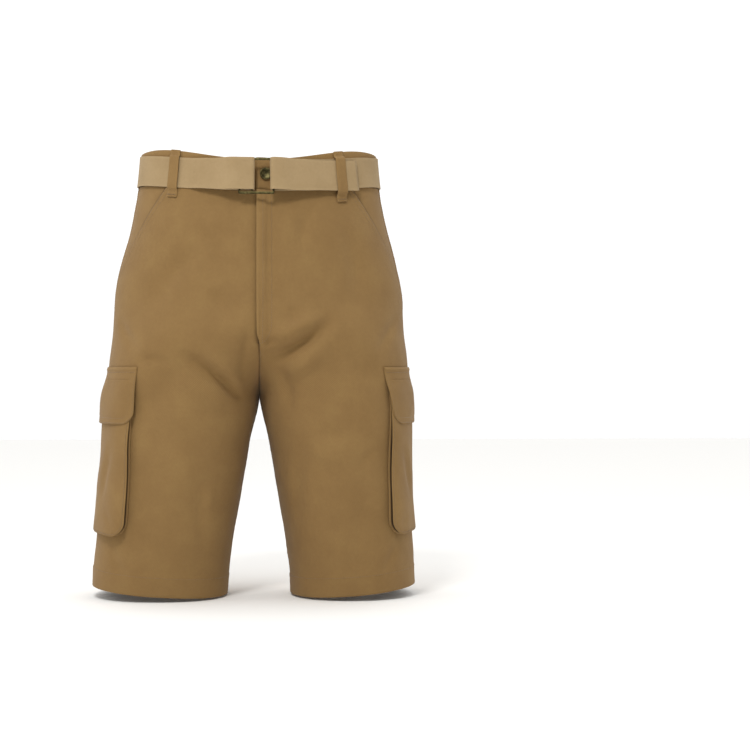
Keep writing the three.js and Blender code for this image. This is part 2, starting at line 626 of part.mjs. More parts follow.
add('waistband', waistbandGeometry(), twill);
add('waist_button', buttonGeometry(), antiqueBrass, waistFrame(WAIST_BUTTON.x, WAIST_BUTTON.z, BUTTON.seat));
add('belt', beltGeometry(), webbing);
add('buckle', buckleGeometry(), antiqueBrass, waistFrame(buckleMiddle, beltZ(buckleMiddle), BUCKLE.off + BELT_BULGE.stand));

const LOOPS = [
  { name: 'belt_loop_front_left', place: placeAtX(104), over: LOOP.overTail, sag: BELT_TAIL.sag },
  { name: 'belt_loop_front_right', place: placeAtX(-110), over: LOOP.over, sag: 0 },
  { name: 'belt_loop_side_left', place: frontQuarter + 32, over: LOOP.over, sag: 0 },
  { name: 'belt_loop_side_right', place: -frontQuarter - 32, over: LOOP.over, sag: 0 },
  { name: 'belt_loop_back', place: waistRound / 2, over: LOOP.over, sag: 0 },
];
for (const loop of LOOPS) add(loop.name, beltLoopGeometry(loop.place, loop.over, loop.sag), twill);

export default shorts;
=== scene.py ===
"""Belted cargo shorts: cloth, stitching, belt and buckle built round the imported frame.

The garment's form is worked out in millimetres, as in the part, and turned to metres once, in form_point.
"""
import math
from functools import lru_cache

import bmesh
import bpy
from mathutils import Matrix, Vector, noise


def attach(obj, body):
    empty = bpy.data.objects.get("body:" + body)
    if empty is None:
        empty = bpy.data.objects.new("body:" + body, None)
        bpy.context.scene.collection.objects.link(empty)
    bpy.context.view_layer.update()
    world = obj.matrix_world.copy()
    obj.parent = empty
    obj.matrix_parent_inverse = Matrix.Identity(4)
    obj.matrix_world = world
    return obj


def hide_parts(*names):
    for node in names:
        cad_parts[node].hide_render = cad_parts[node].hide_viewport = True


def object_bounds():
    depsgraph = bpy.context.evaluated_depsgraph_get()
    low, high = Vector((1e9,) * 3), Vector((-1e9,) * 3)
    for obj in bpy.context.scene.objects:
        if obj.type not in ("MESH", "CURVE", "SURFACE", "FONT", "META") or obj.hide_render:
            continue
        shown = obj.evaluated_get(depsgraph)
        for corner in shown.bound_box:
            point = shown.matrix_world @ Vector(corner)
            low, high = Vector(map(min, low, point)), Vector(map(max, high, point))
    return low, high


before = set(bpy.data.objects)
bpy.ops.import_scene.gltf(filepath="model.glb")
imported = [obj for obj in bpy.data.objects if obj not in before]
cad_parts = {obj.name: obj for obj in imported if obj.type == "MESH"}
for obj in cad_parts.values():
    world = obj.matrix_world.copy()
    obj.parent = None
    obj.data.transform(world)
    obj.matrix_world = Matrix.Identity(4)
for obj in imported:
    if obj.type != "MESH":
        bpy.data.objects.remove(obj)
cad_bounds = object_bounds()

MM = 0.001
LEFT, RIGHT = 1, -1  # the wearer's
FRONT, BACK = 1, -1
HANDS = (("left", LEFT), ("right", RIGHT))

# --- The form: the same named sizes as the part, in millimetres ---
CROTCH_Z = -307
FORK_RISE = 140
SWAY = dict(most=6.5, start=-200)
HEM_Z = -571
HEM_DEPTH = 26
HEM_OUTER_RISE = 13
BAND_BOTTOM, BAND_TOP = -22, 20
RIM_SWELL = 3.5
RIM_PEAK = dict(lift=2.5, reach=30)  # the rim stands up a little behind the buckle
WAIST_DIP = {FRONT: 13, BACK: 5}
WAIST_DIP_END = -130
FLY = dict(lap=4, lift=2.8, straight_to=-222, edge_end=-236, lift_end=-258, fold=12)
SLANT = dict(across=90, top=-22, bottom=-195)
HIP = dict(under=9, lap=22, bottom=-220, inset=1.5)
BELT = dict(width=40, centre=-3, ply=1.7, inner=1.9, outer=9.5, stacked=4.5)
BELT_TAIL = dict(end_x=125, sag=5)
BELT_BULGE = dict(stand=7, start=28, reach=98)
BELT_SINK = dict(edge=1.2, start=30, reach=60)  # its lower edge hangs a little deeper by the buckle
BELT_FOLD = dict(end_x=-68, clear=3, settle=26, turn=3.8, right_x=18.6, left_x=-9.6)
BUCKLE = dict(left=-27, right=20, height=48.6, rail=3.1, bar=2.6, mid_bar=-9.4, thick=2, off=4.2, drop=4)
LOOP = dict(width=14, below=13, base=1.4, over=4.6, over_tail=7.4)
LOOP_TACK = dict(rows=(2.4, 3.3), pitch=1.5)
POCKET = dict(front=98, back=92, top=-282, bottom=-495, corner=22)
POCKET_STAND = dict(middle=5.6, edge=6, back_edge=4.2, flat_to=42, full=92)
POCKET_FORWARD = {LEFT: -1, RIGHT: 8}
PLEAT = dict(half=11, ply=1.6)
FLAP = dict(back=103, top=-267, step=-277, bottom=-341, corner=17, gap=1.4)
FLAP_FRONT = {LEFT: (108, 94), RIGHT: (108, 103)}  # at the top and the bottom
WELT = dict(start=60, end=200, slit=-101, height=6.2, stand=1.1)
BACK_BUTTON = dict(across=131, z=-125)
WAIST_BUTTON = dict(x=8.4, z=-1)

SECTION_COLUMNS = ("z", "half", "inner", "front", "back", "round")
SECTIONS = [dict(zip(SECTION_COLUMNS, row)) for row in (
    (26, 158.5, 0, 97, 94, 2.12),
    (0, 160.5, 0, 101, 96, 2.12),
    (-28, 163.5, 0, 106, 100, 2.14),
    (-50, 167, 0, 110, 107, 2.16),
    (-82, 174, 0, 115, 117, 2.2),
    (-131, 187, 0, 118, 135, 2.25),
    (-163, 193, 0, 121, 143, 2.3),
    (-196, 195.5, 0, 124, 146, 2.3),
    (-225, 197.5, 0, 125, 145, 2.3),
    (-261, 201.5, 0, 119, 140, 2.3),
    (-307, 204, 0, 112, 129, 2.25),
    (-360, 205, 11.5, 109, 121, 2.2),
    (-408, 206.5, 20, 106, 113, 2.2),
    (-457, 209.5, 29, 103, 106, 2.2),
    (-506, 213.5, 36.5, 99, 101, 2.2),
    (-540, 216, 41, 96, 97, 2.2),
    (-571, 217, 43, 94, 95, 2.2),
)]

FOLD_COLUMNS = ("side", "across", "z", "slant", "run", "spread", "lift")
FOLDS = [dict(zip(FOLD_COLUMNS, row)) for row in (
    (RIGHT, 146, -300, -48, 88, 20, -4.2),
    (RIGHT, 120, -262, -40, 80, 24, 2.6),
    (LEFT, 136, -272, -52, 66, 18, -3.6),
    (LEFT, 120, -318, -35, 75, 24, 2.6),
    (RIGHT, 128, -470, 6, 100, 24, -3.4),
    (LEFT, 136, -455, -8, 105, 24, -3.2),
    (RIGHT, -140, -275, 50, 90, 22, -3.8),
    (LEFT, -132, -292, 44, 95, 22, -4),
    (RIGHT, -120, -455, -7, 95, 26, -3.2),
    (LEFT, -128, -470, 9, 90, 26, -3.4),
)]

# Smaller creases, each from one place to another on the front or the back. x and z in mm, lift negative for a
# trough, bend the sideways bow of its middle.
CREASE_COLUMNS = ("face", "x1", "z1", "x2", "z2", "spread", "lift", "bend")
CREASES = [dict(zip(CREASE_COLUMNS, row)) for row in (
    # the fly: a groove beside its edge row, the turn of its stitching and the lip under that
    (FRONT, 6.5, -24, 6.5, -236, 2.8, -0.4, 0),
    (FRONT, 1.5, -238, 30, -228, 3.2, -0.6, -2),
    (FRONT, 1.5, -245, 32, -235, 3.6, 0.4, -2),
    # the wearer's right front
    (FRONT, -106, -244, -20, -313, 10, -4.2, 2),
    (FRONT, -76, -240, -18, -298, 13, 2.2, 0),
    (FRONT, -110, -272, -42, -324, 18, 1.6, 0),
    (FRONT, -104, -62, -40, -152, 13, -1.5, 9),
    (FRONT, -74, -104, -140, -192, 20, -1.7, -6),
    (FRONT, -68, -165, -36, -202, 12, -1.2, 0),
    (FRONT, -160, -259, -112, -262, 8, -1.3, 4),
    (FRONT, -112, -300, -104, -470, 20, 1.4, 5),
    (FRONT, -76, -400, -70, -530, 13, -1.2, -3),
    (FRONT, -62, -420, -66, -460, 7, 0.8, 0),
    (FRONT, -12, -200, -26, -296, 9, -1.2, 3),
    # the wearer's left front
    (FRONT, 102, -198, 12, -262, 10, -4.6, -3),
    (FRONT, 82, -196, 6, -238, 12, 2.2, 0),
    (FRONT, 92, -236, 34, -280, 14, 2.4, 0),
    (FRONT, -3, -238, 30, -232, 2.2, -0.9, 0),
    (FRONT, 72, -38, 52, -118, 10, -1.3, 4),
    (FRONT, 110, -68, 128, -196, 17, -1.6, -5),
    (FRONT, 38, -186, 50, -216, 9, -1.1, 0),
    (FRONT, 76, -342, 118, -362, 11, -1.4, 3),
    (FRONT, 66, -362, 114, -398, 14, 1.3, 4),
    (FRONT, 128, -398, 158, -372, 9, -1, 0),
    (FRONT, 60, -350, 52, -480, 16, -1.3, 4),
    (FRONT, 140, -440, 132, -548, 16, -1.2, 3),
    (FRONT, 24, -262, 40, -330, 10, -1.4, -4),
    # the seat and the backs of the legs
    (BACK, -108, -232, -20, -300, 12, -3.4, 3),
    (BACK, 98, -238, 16, -306, 12, -3.6, -3),
    (BACK, -84, -252, -16, -322, 14, 1.8, 0),
    (BACK, 76, -262, 14, -328, 14, 1.8, 0),
    (BACK, -60, -60, -96, -172, 16, -1.5, 5),
    (BACK, 66, -66, 88, -180, 17, -1.6, -5),
    (BACK, -120, -340, -60, -376, 13, -1.6, 3),
    (BACK, 116, -352, 54, -384, 13, -1.5, -3),
    (BACK, -96, -420, -100, -540, 16, -1.3, 4),
    (BACK, 104, -410, 98, -534, 17, -1.4, -4),
    # above and below the cargo pockets
    (FRONT, 186, -196, 150, -250, 9, -1.4, 2),
    (FRONT, -186, -200, -152, -246, 9, -1.3, -2),
    (BACK, 186, -204, 148, -252, 10, -1.4, 2),
    (BACK, -186, -208, -150, -254, 10, -1.3, -2),
    (FRONT, 190, -506, 168, -548, 9, -1, 2),
    (FRONT, -190, -512, -166, -550, 9, -1, -2),
)]


def clamp01(t):
    return min(1.0, max(0.0, t))


def smooth(t):
    t = clamp01(t)
    return t * t * (3 - 2 * t)


def lerp(a, b, t):
    return a + (b - a) * t


def bump(offset, reach):
    """1 at its middle and gone a little past its reach on both sides."""
    return math.exp(-((offset / reach) ** 2))


def signed_power(value, power):
    return math.copysign(abs(value) ** power, value)


def evenly(start, end, count):
    return [lerp(start, end, i / count) for i in range(count + 1)]


def steps(start, end, most):
    return evenly(start, end, max(1, math.ceil(abs(end - start) / most)))


def column(name, z):
    """One column of SECTIONS at any height, by a cubic through its rows."""
    last = len(SECTIONS) - 1
    i = 0
    while i < last - 1 and z < SECTIONS[i + 1]["z"]:
        i += 1

    def row(k):
        return SECTIONS[min(last, max(0, k))]

    def slope(k):
        above, below = row(k - 1), row(k + 1)
        return (below[name] - above[name]) / (below["z"] - above["z"])

    step = row(i + 1)["z"] - row(i)["z"]
    t = clamp01((z - row(i)["z"]) / step)
    return ((2 * t**3 - 3 * t**2 + 1) * row(i)[name] + (t**3 - 2 * t**2 + t) * slope(i) * step
            + (3 * t**2 - 2 * t**3) * row(i + 1)[name] + (t**3 - t**2) * slope(i + 1) * step)


@lru_cache(maxsize=None)
def section(z):
    """The tube of one leg at a height: its centre, radius, front and back depth, and power."""
    half = column("half", z)
    if z > CROTCH_Z:
        shift = 1 - smooth((z - CROTCH_Z) / FORK_RISE)
        radius = half / (1 + shift)
        centre = radius * shift
    else:
        inner = column("inner", z)
        radius, centre = (half - inner) / 2, (half + inner) / 2
    return centre, radius, column("front", z), column("back", z), 2 / column("round", z)


def section_point(z, angle):
    """angle: 0 at the side seam, positive round the front, pi at the inseam, negative round the back."""
    centre, radius, front, back, power = section(z)
    depth = front if angle > 0 else back
    return (centre + radius * signed_power(math.cos(angle), power),
            -depth * signed_power(math.sin(angle), power))


def angle_at_x(z, x):
    centre, radius, _, _, power = section(z)
    return math.acos(signed_power(min(1, max(-1, (x - centre) / radius)), 1 / power))


ARC_STEPS = 96


@lru_cache(maxsize=None)
def arc_table(z, way):
    """Distances from the side seam round a section, at even angles."""
    across = [0.0]
    before = section_point(z, 0)
    for i in range(1, ARC_STEPS + 1):
        point = section_point(z, way * math.pi * i / ARC_STEPS)
        across.append(across[-1] + math.hypot(point[0] - before[0], point[1] - before[1]))
        before = point
    return across


def angle_at(z, across):
    table = arc_table(z, BACK if across < 0 else FRONT)
    distance = abs(across)
    low, high = 1, ARC_STEPS
    while low < high:
        middle = (low + high) // 2
        if table[middle] < distance:
            low = middle + 1
        else:
            high = middle
    part = (distance - table[low - 1]) / (table[low] - table[low - 1])
    return math.copysign(math.pi * (low - 1 + part) / ARC_STEPS, across)


def across_at(z, angle):
    table = arc_table(z, BACK if angle < 0 else FRONT)
    place = min(abs(angle) / math.pi * ARC_STEPS, ARC_STEPS - 1e-6)
    i = int(place)
    return math.copysign(lerp(table[i], table[i + 1], place - i), angle)


def row_shift(z, angle):
    """The waist sinks at centre front and back, and the outer side of the hem is higher."""
    fade = smooth((z - WAIST_DIP_END) / (BAND_BOTTOM - WAIST_DIP_END))
    dip = WAIST_DIP[FRONT if angle > 0 else BACK]
    low = smooth((CROTCH_Z - z) / (CROTCH_Z - HEM_Z))
    outer = ((1 + math.cos(angle)) / 2) ** 1.5
    return HEM_OUTER_RISE * low * outer - dip * fade * math.sin(angle) ** 4


def fold_lift(side, across, z):
    lift = 0.0
    for fold in FOLDS:
        if fold["side"] != side:
            continue
        tilt = math.radians(fold["slant"])
        right, up = across - fold["across"], z - fold["z"]
        along = (up * math.cos(tilt) - right * math.sin(tilt)) / fold["run"]
        aside = (right * math.cos(tilt) + up * math.sin(tilt)) / fold["spread"]
        if abs(along) < 1:
            lift += fold["lift"] * (1 - along**2) ** 2 * bump(aside, 1)
    return lift


def place_creases():
    """CREASES as segments on the unrolled cloth, by side: start, unit direction, length and the row."""
    placed = {LEFT: [], RIGHT: []}
    for crease in CREASES:
        side = LEFT if crease["x1"] + crease["x2"] > 0 else RIGHT
        ends = [Vector((crease["face"] * across_at(z, angle_at_x(z, abs(x))), z))
                for x, z in ((crease["x1"], crease["z1"]), (crease["x2"], crease["z2"]))]
        along = ends[1] - ends[0]
        placed[side].append((ends[0], along.normalized(), along.length, crease))
    return placed


PLACED_CREASES = place_creases()
CREASE_DEPTH, CREASE_WIDTH = 2.5, 0.85  # every crease is so many times as deep and as wide as its row says
DRAPE = dict(broad=60, broad_lift=1.5, fine=16, fine_lift=0.18)  # the cloth's unevenness: sizes and heights


def crease_lift(side, across, z):
    lift = 0.0
    for start, direction, length, crease in PLACED_CREASES[side]:
        offset = Vector((across, z)) - start
        t = 2 * offset.dot(direction) / length - 1
        if abs(t) >= 1:
            continue
        aside = direction.x * offset.y - direction.y * offset.x - crease["bend"] * (1 - t * t)
        reach = aside / (CREASE_WIDTH * crease["spread"])
        if abs(reach) < 3:
            lift += CREASE_DEPTH * crease["lift"] * (1 - t * t) ** 1.5 * bump(reach, 1)
    spot = Vector((across * side, z, side * 300))
    lift += DRAPE["broad_lift"] * noise.noise(spot / DRAPE["broad"])
    lift += DRAPE["fine_lift"] * noise.noise(spot / DRAPE["fine"])
    return lift


SLOPE_REACH = 2  # how far up and down the surface's slope is taken


def form_point(side, z, angle, off, creased=True):
    """A point of the body in metres, moved out along its normal by off."""
    centre, radius, front, back, power = section(z)
    x, y = section_point(z, angle)
    depth = front if angle > 0 else back
    steep = 2 / power - 1
    out = (signed_power((x - centre) / radius, steep) / radius, signed_power(y / depth, steep) / depth)
    above, below = section_point(z + SLOPE_REACH, angle), section_point(z - SLOPE_REACH, angle)
    up = Vector((above[0] - below[0], above[1] - below[1], 2 * SLOPE_REACH))
    normal = Vector((-out[1], out[0], 0)).cross(up).normalized()
    if normal.x * out[0] + normal.y * out[1] < 0:
        normal.negate()
    across = across_at(z, angle)
    lift = off + fold_lift(side, across, z)
    if creased:
        lift += crease_lift(side, across, z)
    share = smooth((x - max(0, centre - radius)) / (2 * radius))
    sway = SWAY["most"] * smooth((SWAY["start"] - z) / (SWAY["start"] - HEM_Z)) * share
    return MM * Vector((side * (x + normal.x * lift) - sway, y + normal.y * lift,
                        z + row_shift(z, angle) + normal.z * lift))


def across_point(side, z, across, off):
    return form_point(side, z, angle_at(z, across), off)


# Round the waist, a place is its distance from centre front, positive to the wearer's left.
FRONT_QUARTER = across_at(0, math.pi / 2)
BACK_QUARTER = -across_at(0, -math.pi / 2)
WAIST_ROUND = 2 * (FRONT_QUARTER + BACK_QUARTER)


def from_front(place):
    return place - WAIST_ROUND * round(place / WAIST_ROUND)


def waist_angle(place):
    return angle_at(0, FRONT_QUARTER - abs(from_front(place)))


def waist_point(place, z, off):
    return form_point(RIGHT if from_front(place) < 0 else LEFT, z, waist_angle(place), off, creased=False)


def place_at_x(x):
    return math.copysign(FRONT_QUARTER - across_at(0, angle_at_x(0, abs(x))), x)


def rim_z(place):
    angle = waist_angle(place)
    rise = RIM_PEAK["lift"] * (1 - smooth(abs(from_front(place)) / RIM_PEAK["reach"]))
    swell = RIM_SWELL * math.sin(2 * angle) ** 2 - math.sin(angle) ** 4 if angle > 0 else 0
    return BAND_TOP + rise + swell


def belt_z(place):
    angle = waist_angle(place)
    bow = math.sin(angle) ** 2 if angle > 0 else 0
    return BELT["centre"] - WAIST_DIP[FRONT] * (bow - bow**2)


def belt_bulge(place):
    start, reach = BELT_BULGE["start"], BELT_BULGE["reach"]
    return BELT_BULGE["stand"] * (1 - smooth((abs(from_front(place)) - start) / (reach - start)))


# --- Materials ---
def linear(colour):
    """An sRGB hex colour as linear RGBA."""
    channels = [int(colour[i:i + 2], 16) / 255 for i in (1, 3, 5)]
    return (*[c / 12.92 if c <= 0.04045 else ((c + 0.055) / 1.055) ** 2.4 for c in channels], 1)


def node(tree, kind, settings=None, **links):
    """Adds a node. settings: its properties, its colour stops, and input values by name or number. links: output
    sockets by the input's name, or by its number after a _."""
    made = tree.nodes.new(kind)
    for key, value in (settings or {}).items():
        if key == "stops":
            elements = made.color_ramp.elements
            while len(elements) < len(value):
                elements.new(0.5)
            for element, (position, colour) in zip(elements, value):
                element.position, element.color = position, linear(colour)
        elif hasattr(made, key):
            setattr(made, key, value)
        else:
            made.inputs[int(key) if key.isdigit() else key].default_value = value
    for key, socket in links.items():
        tree.links.new(socket, made.inputs[int(key[1:]) if key[0] == "_" else key.replace("_", " ")])
    return made


def new_material(name, **settings):
    material = bpy.data.materials.new(name)
    material.use_nodes = True
    shader = material.node_tree.nodes["Principled BSDF"]
    for key, value in settings.items():
        shader.inputs[key.replace("_", " ")].default_value = value
    return material, material.node_tree, shader


PAINTED_SHADE_COLOUR = "#3f2c1a"  # painted shade: a dark colour mixed into the cloth where shadow falls, inside the bellows, beside the fly's lap and along the slanted pocket edges
WAVE_ROUND = 0.314  # a wave texture of this scale repeats once in each unit


def woven_cloth(name, dark, base, light, twill_mm, rib_angle, weave_depth, rib_shade):
    """Piece-dyed cotton: a matt, slightly uneven colour, diagonal ribs and a little fuzz at grazing angles. It
    is paler where seams and folds have rubbed. Inside the bellows, beside the fly's lap and along the slanted
    pocket edges it carries painted shade: a dark colour mixed in where shadow falls."""
    material, tree, shader = new_material(name, Roughness=0.88, Sheen_Weight=0.06, Sheen_Roughness=0.5,
                                          Specular_IOR_Level=0.25)
    place = node(tree, "ShaderNodeTexCoord")
    # Cloudy dyeing, patches about 40 mm across, over mottling of about 4 mm.
    clouds, mottle = (node(tree, "ShaderNodeTexNoise", {"Scale": 1 / (size * MM), "Detail": detail},
                           Vector=place.outputs["Object"]) for size, detail in ((40, 3.0), (4, 2.0)))
    both = node(tree, "ShaderNodeMath", {"operation": "MULTIPLY_ADD", "1": 0.35}, _0=mottle.outputs["Fac"],
                _2=clouds.outputs["Fac"])
    dyed = node(tree, "ShaderNodeValToRGB", {"stops": ((0.42, dark), (0.66, base), (0.95, light))},
                Fac=both.outputs[0])
    # Real twill ribs are 0.5 mm apart. These are as coarse as they need to be to show at all.
    turned = node(tree, "ShaderNodeMapping", {"Rotation": (0, 0, math.radians(rib_angle))},
                  Vector=place.outputs["UV"])
    ribs = node(tree, "ShaderNodeTexWave", {"Scale": WAVE_ROUND / (twill_mm * MM), "Distortion": 1.2,
                                           "Detail": 2.0, "Detail Scale": 1.5}, Vector=turned.outputs[0])
    # The attribute's positive values pale rubbed edges, real wear; its negative values are painted shade, a dark
    # colour mixed in where shadow falls.
    worn = node(tree, "ShaderNodeAttribute", {"attribute_name": "worn"})
    paled = node(tree, "ShaderNodeMix", {"data_type": "RGBA", "7": linear(light)}, _0=worn.outputs["Fac"],
                 _6=dyed.outputs["Color"])
    painted_shade_amount = node(tree, "ShaderNodeMath", {"operation": "MULTIPLY", "1": -1.0}, _0=worn.outputs["Fac"])
    with_painted_shade = node(tree, "ShaderNodeMix", {"data_type": "RGBA", "7": linear(PAINTED_SHADE_COLOUR)}, _0=painted_shade_amount.outputs[0],
                _6=paled.outputs[2])
    ribbed = node(tree, "ShaderNodeMix", {"data_type": "RGBA", "blend_type": "MULTIPLY", "0": rib_shade},
                  _6=with_painted_shade.outputs[2], _7=ribs.outputs["Color"])
    tree.links.new(ribbed.outputs[2], shader.inputs["Base Color"])
    nap = node(tree, "ShaderNodeBump", {"Strength": 0.35, "Distance": 0.6 * MM}, Height=mottle.outputs["Fac"])
    weave = node(tree, "ShaderNodeBump", {"Strength": 0.5, "Distance": weave_depth * MM},
                 Height=ribs.outputs["Fac"], Normal=nap.outputs[0])
    tree.links.new(weave.outputs[0], shader.inputs["Normal"])
    return material


# Cotton twill, garment dyed khaki: matt, with faint diagonal ribs and soft cloudy colour.
TWILL = woven_cloth("khaki_cotton_twill", "#8a6b40", "#8e6f43", "#947547", 1.6, 62, 0.25, 0.14)
# Cotton webbing, flat woven: paler and smoother than the twill, with close cross ribs.
WEBBING = woven_cloth("khaki_cotton_webbing", "#9f8660", "#a48b65", "#aa916b", 1.3, 90, 0.12, 0.08)
# Spun polyester sewing thread: a little darker than the cloth and slightly shiny.
THREAD, _, _ = new_material("khaki_sewing_thread", Base_Color=linear("#7d613b"), Roughness=0.6,
                            Sheen_Weight=0.2)


def antique_brass():
    """Cast brass, blackened and rubbed back: dark green-brown with patches of duller gold, unevenly glossy."""
    material, tree, shader = new_material("antique_cast_brass", Metallic=0.9, Roughness=0.42)
    place = node(tree, "ShaderNodeTexCoord")
    stain = node(tree, "ShaderNodeTexNoise", {"Scale": 1 / (5 * MM), "Detail": 5.0, "Roughness": 0.65},
                 Vector=place.outputs["Object"])
    colour = node(tree, "ShaderNodeValToRGB", {
        "stops": ((0.35, "#37321c"), (0.55, "#625a38"), (0.75, "#8b7c4e"))}, Fac=stain.outputs["Fac"])
    tree.links.new(colour.outputs["Color"], shader.inputs["Base Color"])
    rough = node(tree, "ShaderNodeMapRange", {"To Min": 0.3, "To Max": 0.6}, Value=stain.outputs["Fac"])
    tree.links.new(rough.outputs[0], shader.inputs["Roughness"])
    cast = node(tree, "ShaderNodeBump", {"Strength": 0.25, "Distance": 0.1 * MM}, Height=stain.outputs["Fac"])
    tree.links.new(cast.outputs[0], shader.inputs["Normal"])
    return material


def horn():
    """Polished horn resin: brown with paler streaks, and a soft gloss."""
    material, tree, shader = new_material("polished_horn_resin", Roughness=0.32, IOR=1.54)
    place = node(tree, "ShaderNodeTexCoord")
    stretched = node(tree, "ShaderNodeMapping", {"Scale": (1, 1, 0.25)}, Vector=place.outputs["Object"])
    streaks = node(tree, "ShaderNodeTexNoise", {"Scale": 1 / (3 * MM), "Detail": 4.0},
                   Vector=stretched.outputs[0])
    colour = node(tree, "ShaderNodeValToRGB", {
        "stops": ((0.3, "#5c4226"), (0.55, "#83643c"), (0.75, "#a58a5c"))}, Fac=streaks.outputs["Fac"])
    tree.links.new(colour.outputs["Color"], shader.inputs["Base Color"])
    return material


BRASS = antique_brass()
HORN = horn()


# --- Building cloth ---
def finish_piece(piece, material, node_names):
    piece.data.materials.append(material)
    piece.data.shade_smooth()
    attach(piece, "root")
    if node_names:
        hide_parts(*node_names)
    return piece


def new_object(name, mesh):
    data = bpy.data.meshes.new(name)
    mesh.to_mesh(data)
    mesh.free()
    piece = bpy.data.objects.new(name, data)
    bpy.context.scene.collection.objects.link(piece)
    return piece


def run_lengths(points):
    lengths = [0.0]
    for a, b in zip(points, points[1:]):
        lengths.append(lengths[-1] + (b - a).length)
    return lengths


def cloth(name, columns, rows, place, thickness, node_names, outward=None, worn=None,
          material=None):
    """A sheet of cloth: a grid whose point at (column, row) goes to place(column, row), with its thickness laid
    on the side away from outward, a direction at the grid's middle. Its wear and painted shade function
    runs from 1, rubbed pale, to -1, painted shade: the cloth drawn dark where shadow falls."""
    mesh = bmesh.new()
    wide, long = len(columns) - 1, len(rows) - 1
    bmesh.ops.create_grid(mesh, x_segments=wide, y_segments=long, size=0.5)
    uv_layer = mesh.loops.layers.uv.new("cut")
    wear_and_painted_shade_layer = mesh.verts.layers.float.new("worn")
    grid = {}
    for vertex in mesh.verts:
        grid[round((vertex.co.x + 0.5) * wide), round((0.5 - vertex.co.y) * long)] = vertex
    for (i, j), vertex in sorted(grid.items(), key=lambda item: (item[0][1], item[0][0])):
        vertex.co = place(columns[i], rows[j])
        if worn:
            vertex[wear_and_painted_shade_layer] = worn(columns[i], rows[j])
    widths = run_lengths([grid[i, long // 2].co for i in range(wide + 1)])
    heights = run_lengths([grid[wide // 2, j].co for j in range(long + 1)])
    at = {vertex.index: key for key, vertex in grid.items()}
    for face in mesh.faces:
        for loop in face.loops:
            i, j = at[loop.vert.index]
            loop[uv_layer].uv = (widths[i], -heights[j])
    mesh.normal_update()
    middle = grid[wide // 2, long // 2]
    if outward is None:
        outward = place(columns[wide // 2], rows[long // 2], 1) - middle.co
    if middle.normal.dot(outward) < 0:
        bmesh.ops.reverse_faces(mesh, faces=mesh.faces)
    area = sum(face.calc_area() for face in mesh.faces)
    flat = (max(run_lengths([grid[i, j].co for i in range(wide + 1)])[-1] for j in range(long + 1)),
            max(run_lengths([grid[i, j].co for j in range(long + 1)])[-1] for i in range(wide + 1)))
    piece = new_object(name, mesh)
    solidify = piece.modifiers.new("thickness", "SOLIDIFY")
    solidify.thickness = thickness * MM
    solidify.offset = -1
    finish_piece(piece, material or TWILL, node_names)


STITCH = dict(pitch=3.3, gap=0.12, stretch=1.15, width=1.0, height=0.8)


def stitches(name, paths, pitch=STITCH["pitch"]):
    """Rows of topstitching. Each path is a list of (point, outward direction), close together along it."""
    mesh = bmesh.new()
    for path in paths:
        lengths = run_lengths([point for point, _ in path])
        count = max(1, round(lengths[-1] / (pitch * MM)))
        spots, k = [], 0
        for i in range(count):
            for part in (i + STITCH["gap"], i + 1 - STITCH["gap"]):
                target = lengths[-1] * part / count
                while k < len(lengths) - 2 and lengths[k + 1] < target:
                    k += 1
                t = (target - lengths[k]) / max(1e-9, lengths[k + 1] - lengths[k])
                spots.append((path[k][0].lerp(path[k + 1][0], t), path[k][1]))
        for (start, out), (end, _) in zip(spots[::2], spots[1::2]):
            along = end - start
            across = out.cross(along).normalized()
            up = along.cross(across).normalized()
            matrix = Matrix((along * STITCH["stretch"], across * STITCH["width"] * MM,
                             up * STITCH["height"] * MM)).transposed().to_4x4()
            matrix.translation = (start + end) / 2
            bmesh.ops.create_cube(mesh, size=1, matrix=matrix)
    piece = new_object(name, mesh)
    rounding = piece.modifiers.new("rounding", "SUBSURF")
    rounding.levels = rounding.render_levels = 1
    return finish_piece(piece, THREAD, [])


def surface_path(point_at, values):
    """Points along a seam, with their outward directions. point_at(value, off) is a point in metres."""
    path = []
    for value in values:
        low = point_at(value, 0)
        path.append((low, (point_at(value, 1) - low).normalized()))
    return path


# --- Leg panels ---
CLOTH = dict(leg=1.1, face=0.9, band=0.8, gusset=0.7, welt=0.6, double=1.4)  # thicknesses
CELL = 2.7  # spacing of the cloth's grid
FELL = dict(near=0.8, far=9, lift=0.45)  # the flat-felled side seam: a raised strip on the back panel
HEM_TURN = 1.5
HEM_LENGTH = BAND_BOTTOM - HEM_Z - HEM_TURN  # from the waistband to where the hem begins to turn
SEAM_GAP = 0.15  # from each panel to the middle
EDGE_ROUND = 0.9
PUCKER = dict(length=11, lift=0.32, reach=5)
FLY_ROLL = dict(inside=3, lift=0.5, reach=2.4)  # the lap's edge is a little rounded
UNDER_FLY = dict(drop=1.6, reach=8, painted_shade=0.75, fade=2.2)  # the right front, where it sinks under the lap, and the painted shadow drawn beside the lap's edge: its strength and how fast it fades
RUBBED = 3  # how far in from an edge the cloth is rubbed pale
HEM_STEP = dict(above=26, lift=0.5, reach=2.5)  # the hem is two plies thick as far up as this
SEWN = dict(side=4, front=2, end=3, hem=25)  # how far from each edge its stitching puckers the cloth


def slant_edge(z):
    return SLANT["across"] * clamp01((z - SLANT["bottom"]) / (SLANT["top"] - SLANT["bottom"]))


def fly_edge(z, laps):
    """The wearer's left front laps over the right one as far as the end of the fly."""
    if z < CROTCH_Z or not laps:
        return SEAM_GAP
    straight = 1 - clamp01((z - FLY["straight_to"]) / (FLY["edge_end"] - FLY["straight_to"]))
    return SEAM_GAP - (FLY["lap"] + SEAM_GAP) * straight


def fly_lift(z, x, laps):
    if not laps:
        return 0
    fade = 1 - smooth((z - FLY["edge_end"]) / (FLY["lift_end"] - FLY["edge_end"]))
    return FLY["lift"] * fade * smooth((FLY["fold"] - x) / (FLY["fold"] / 2))


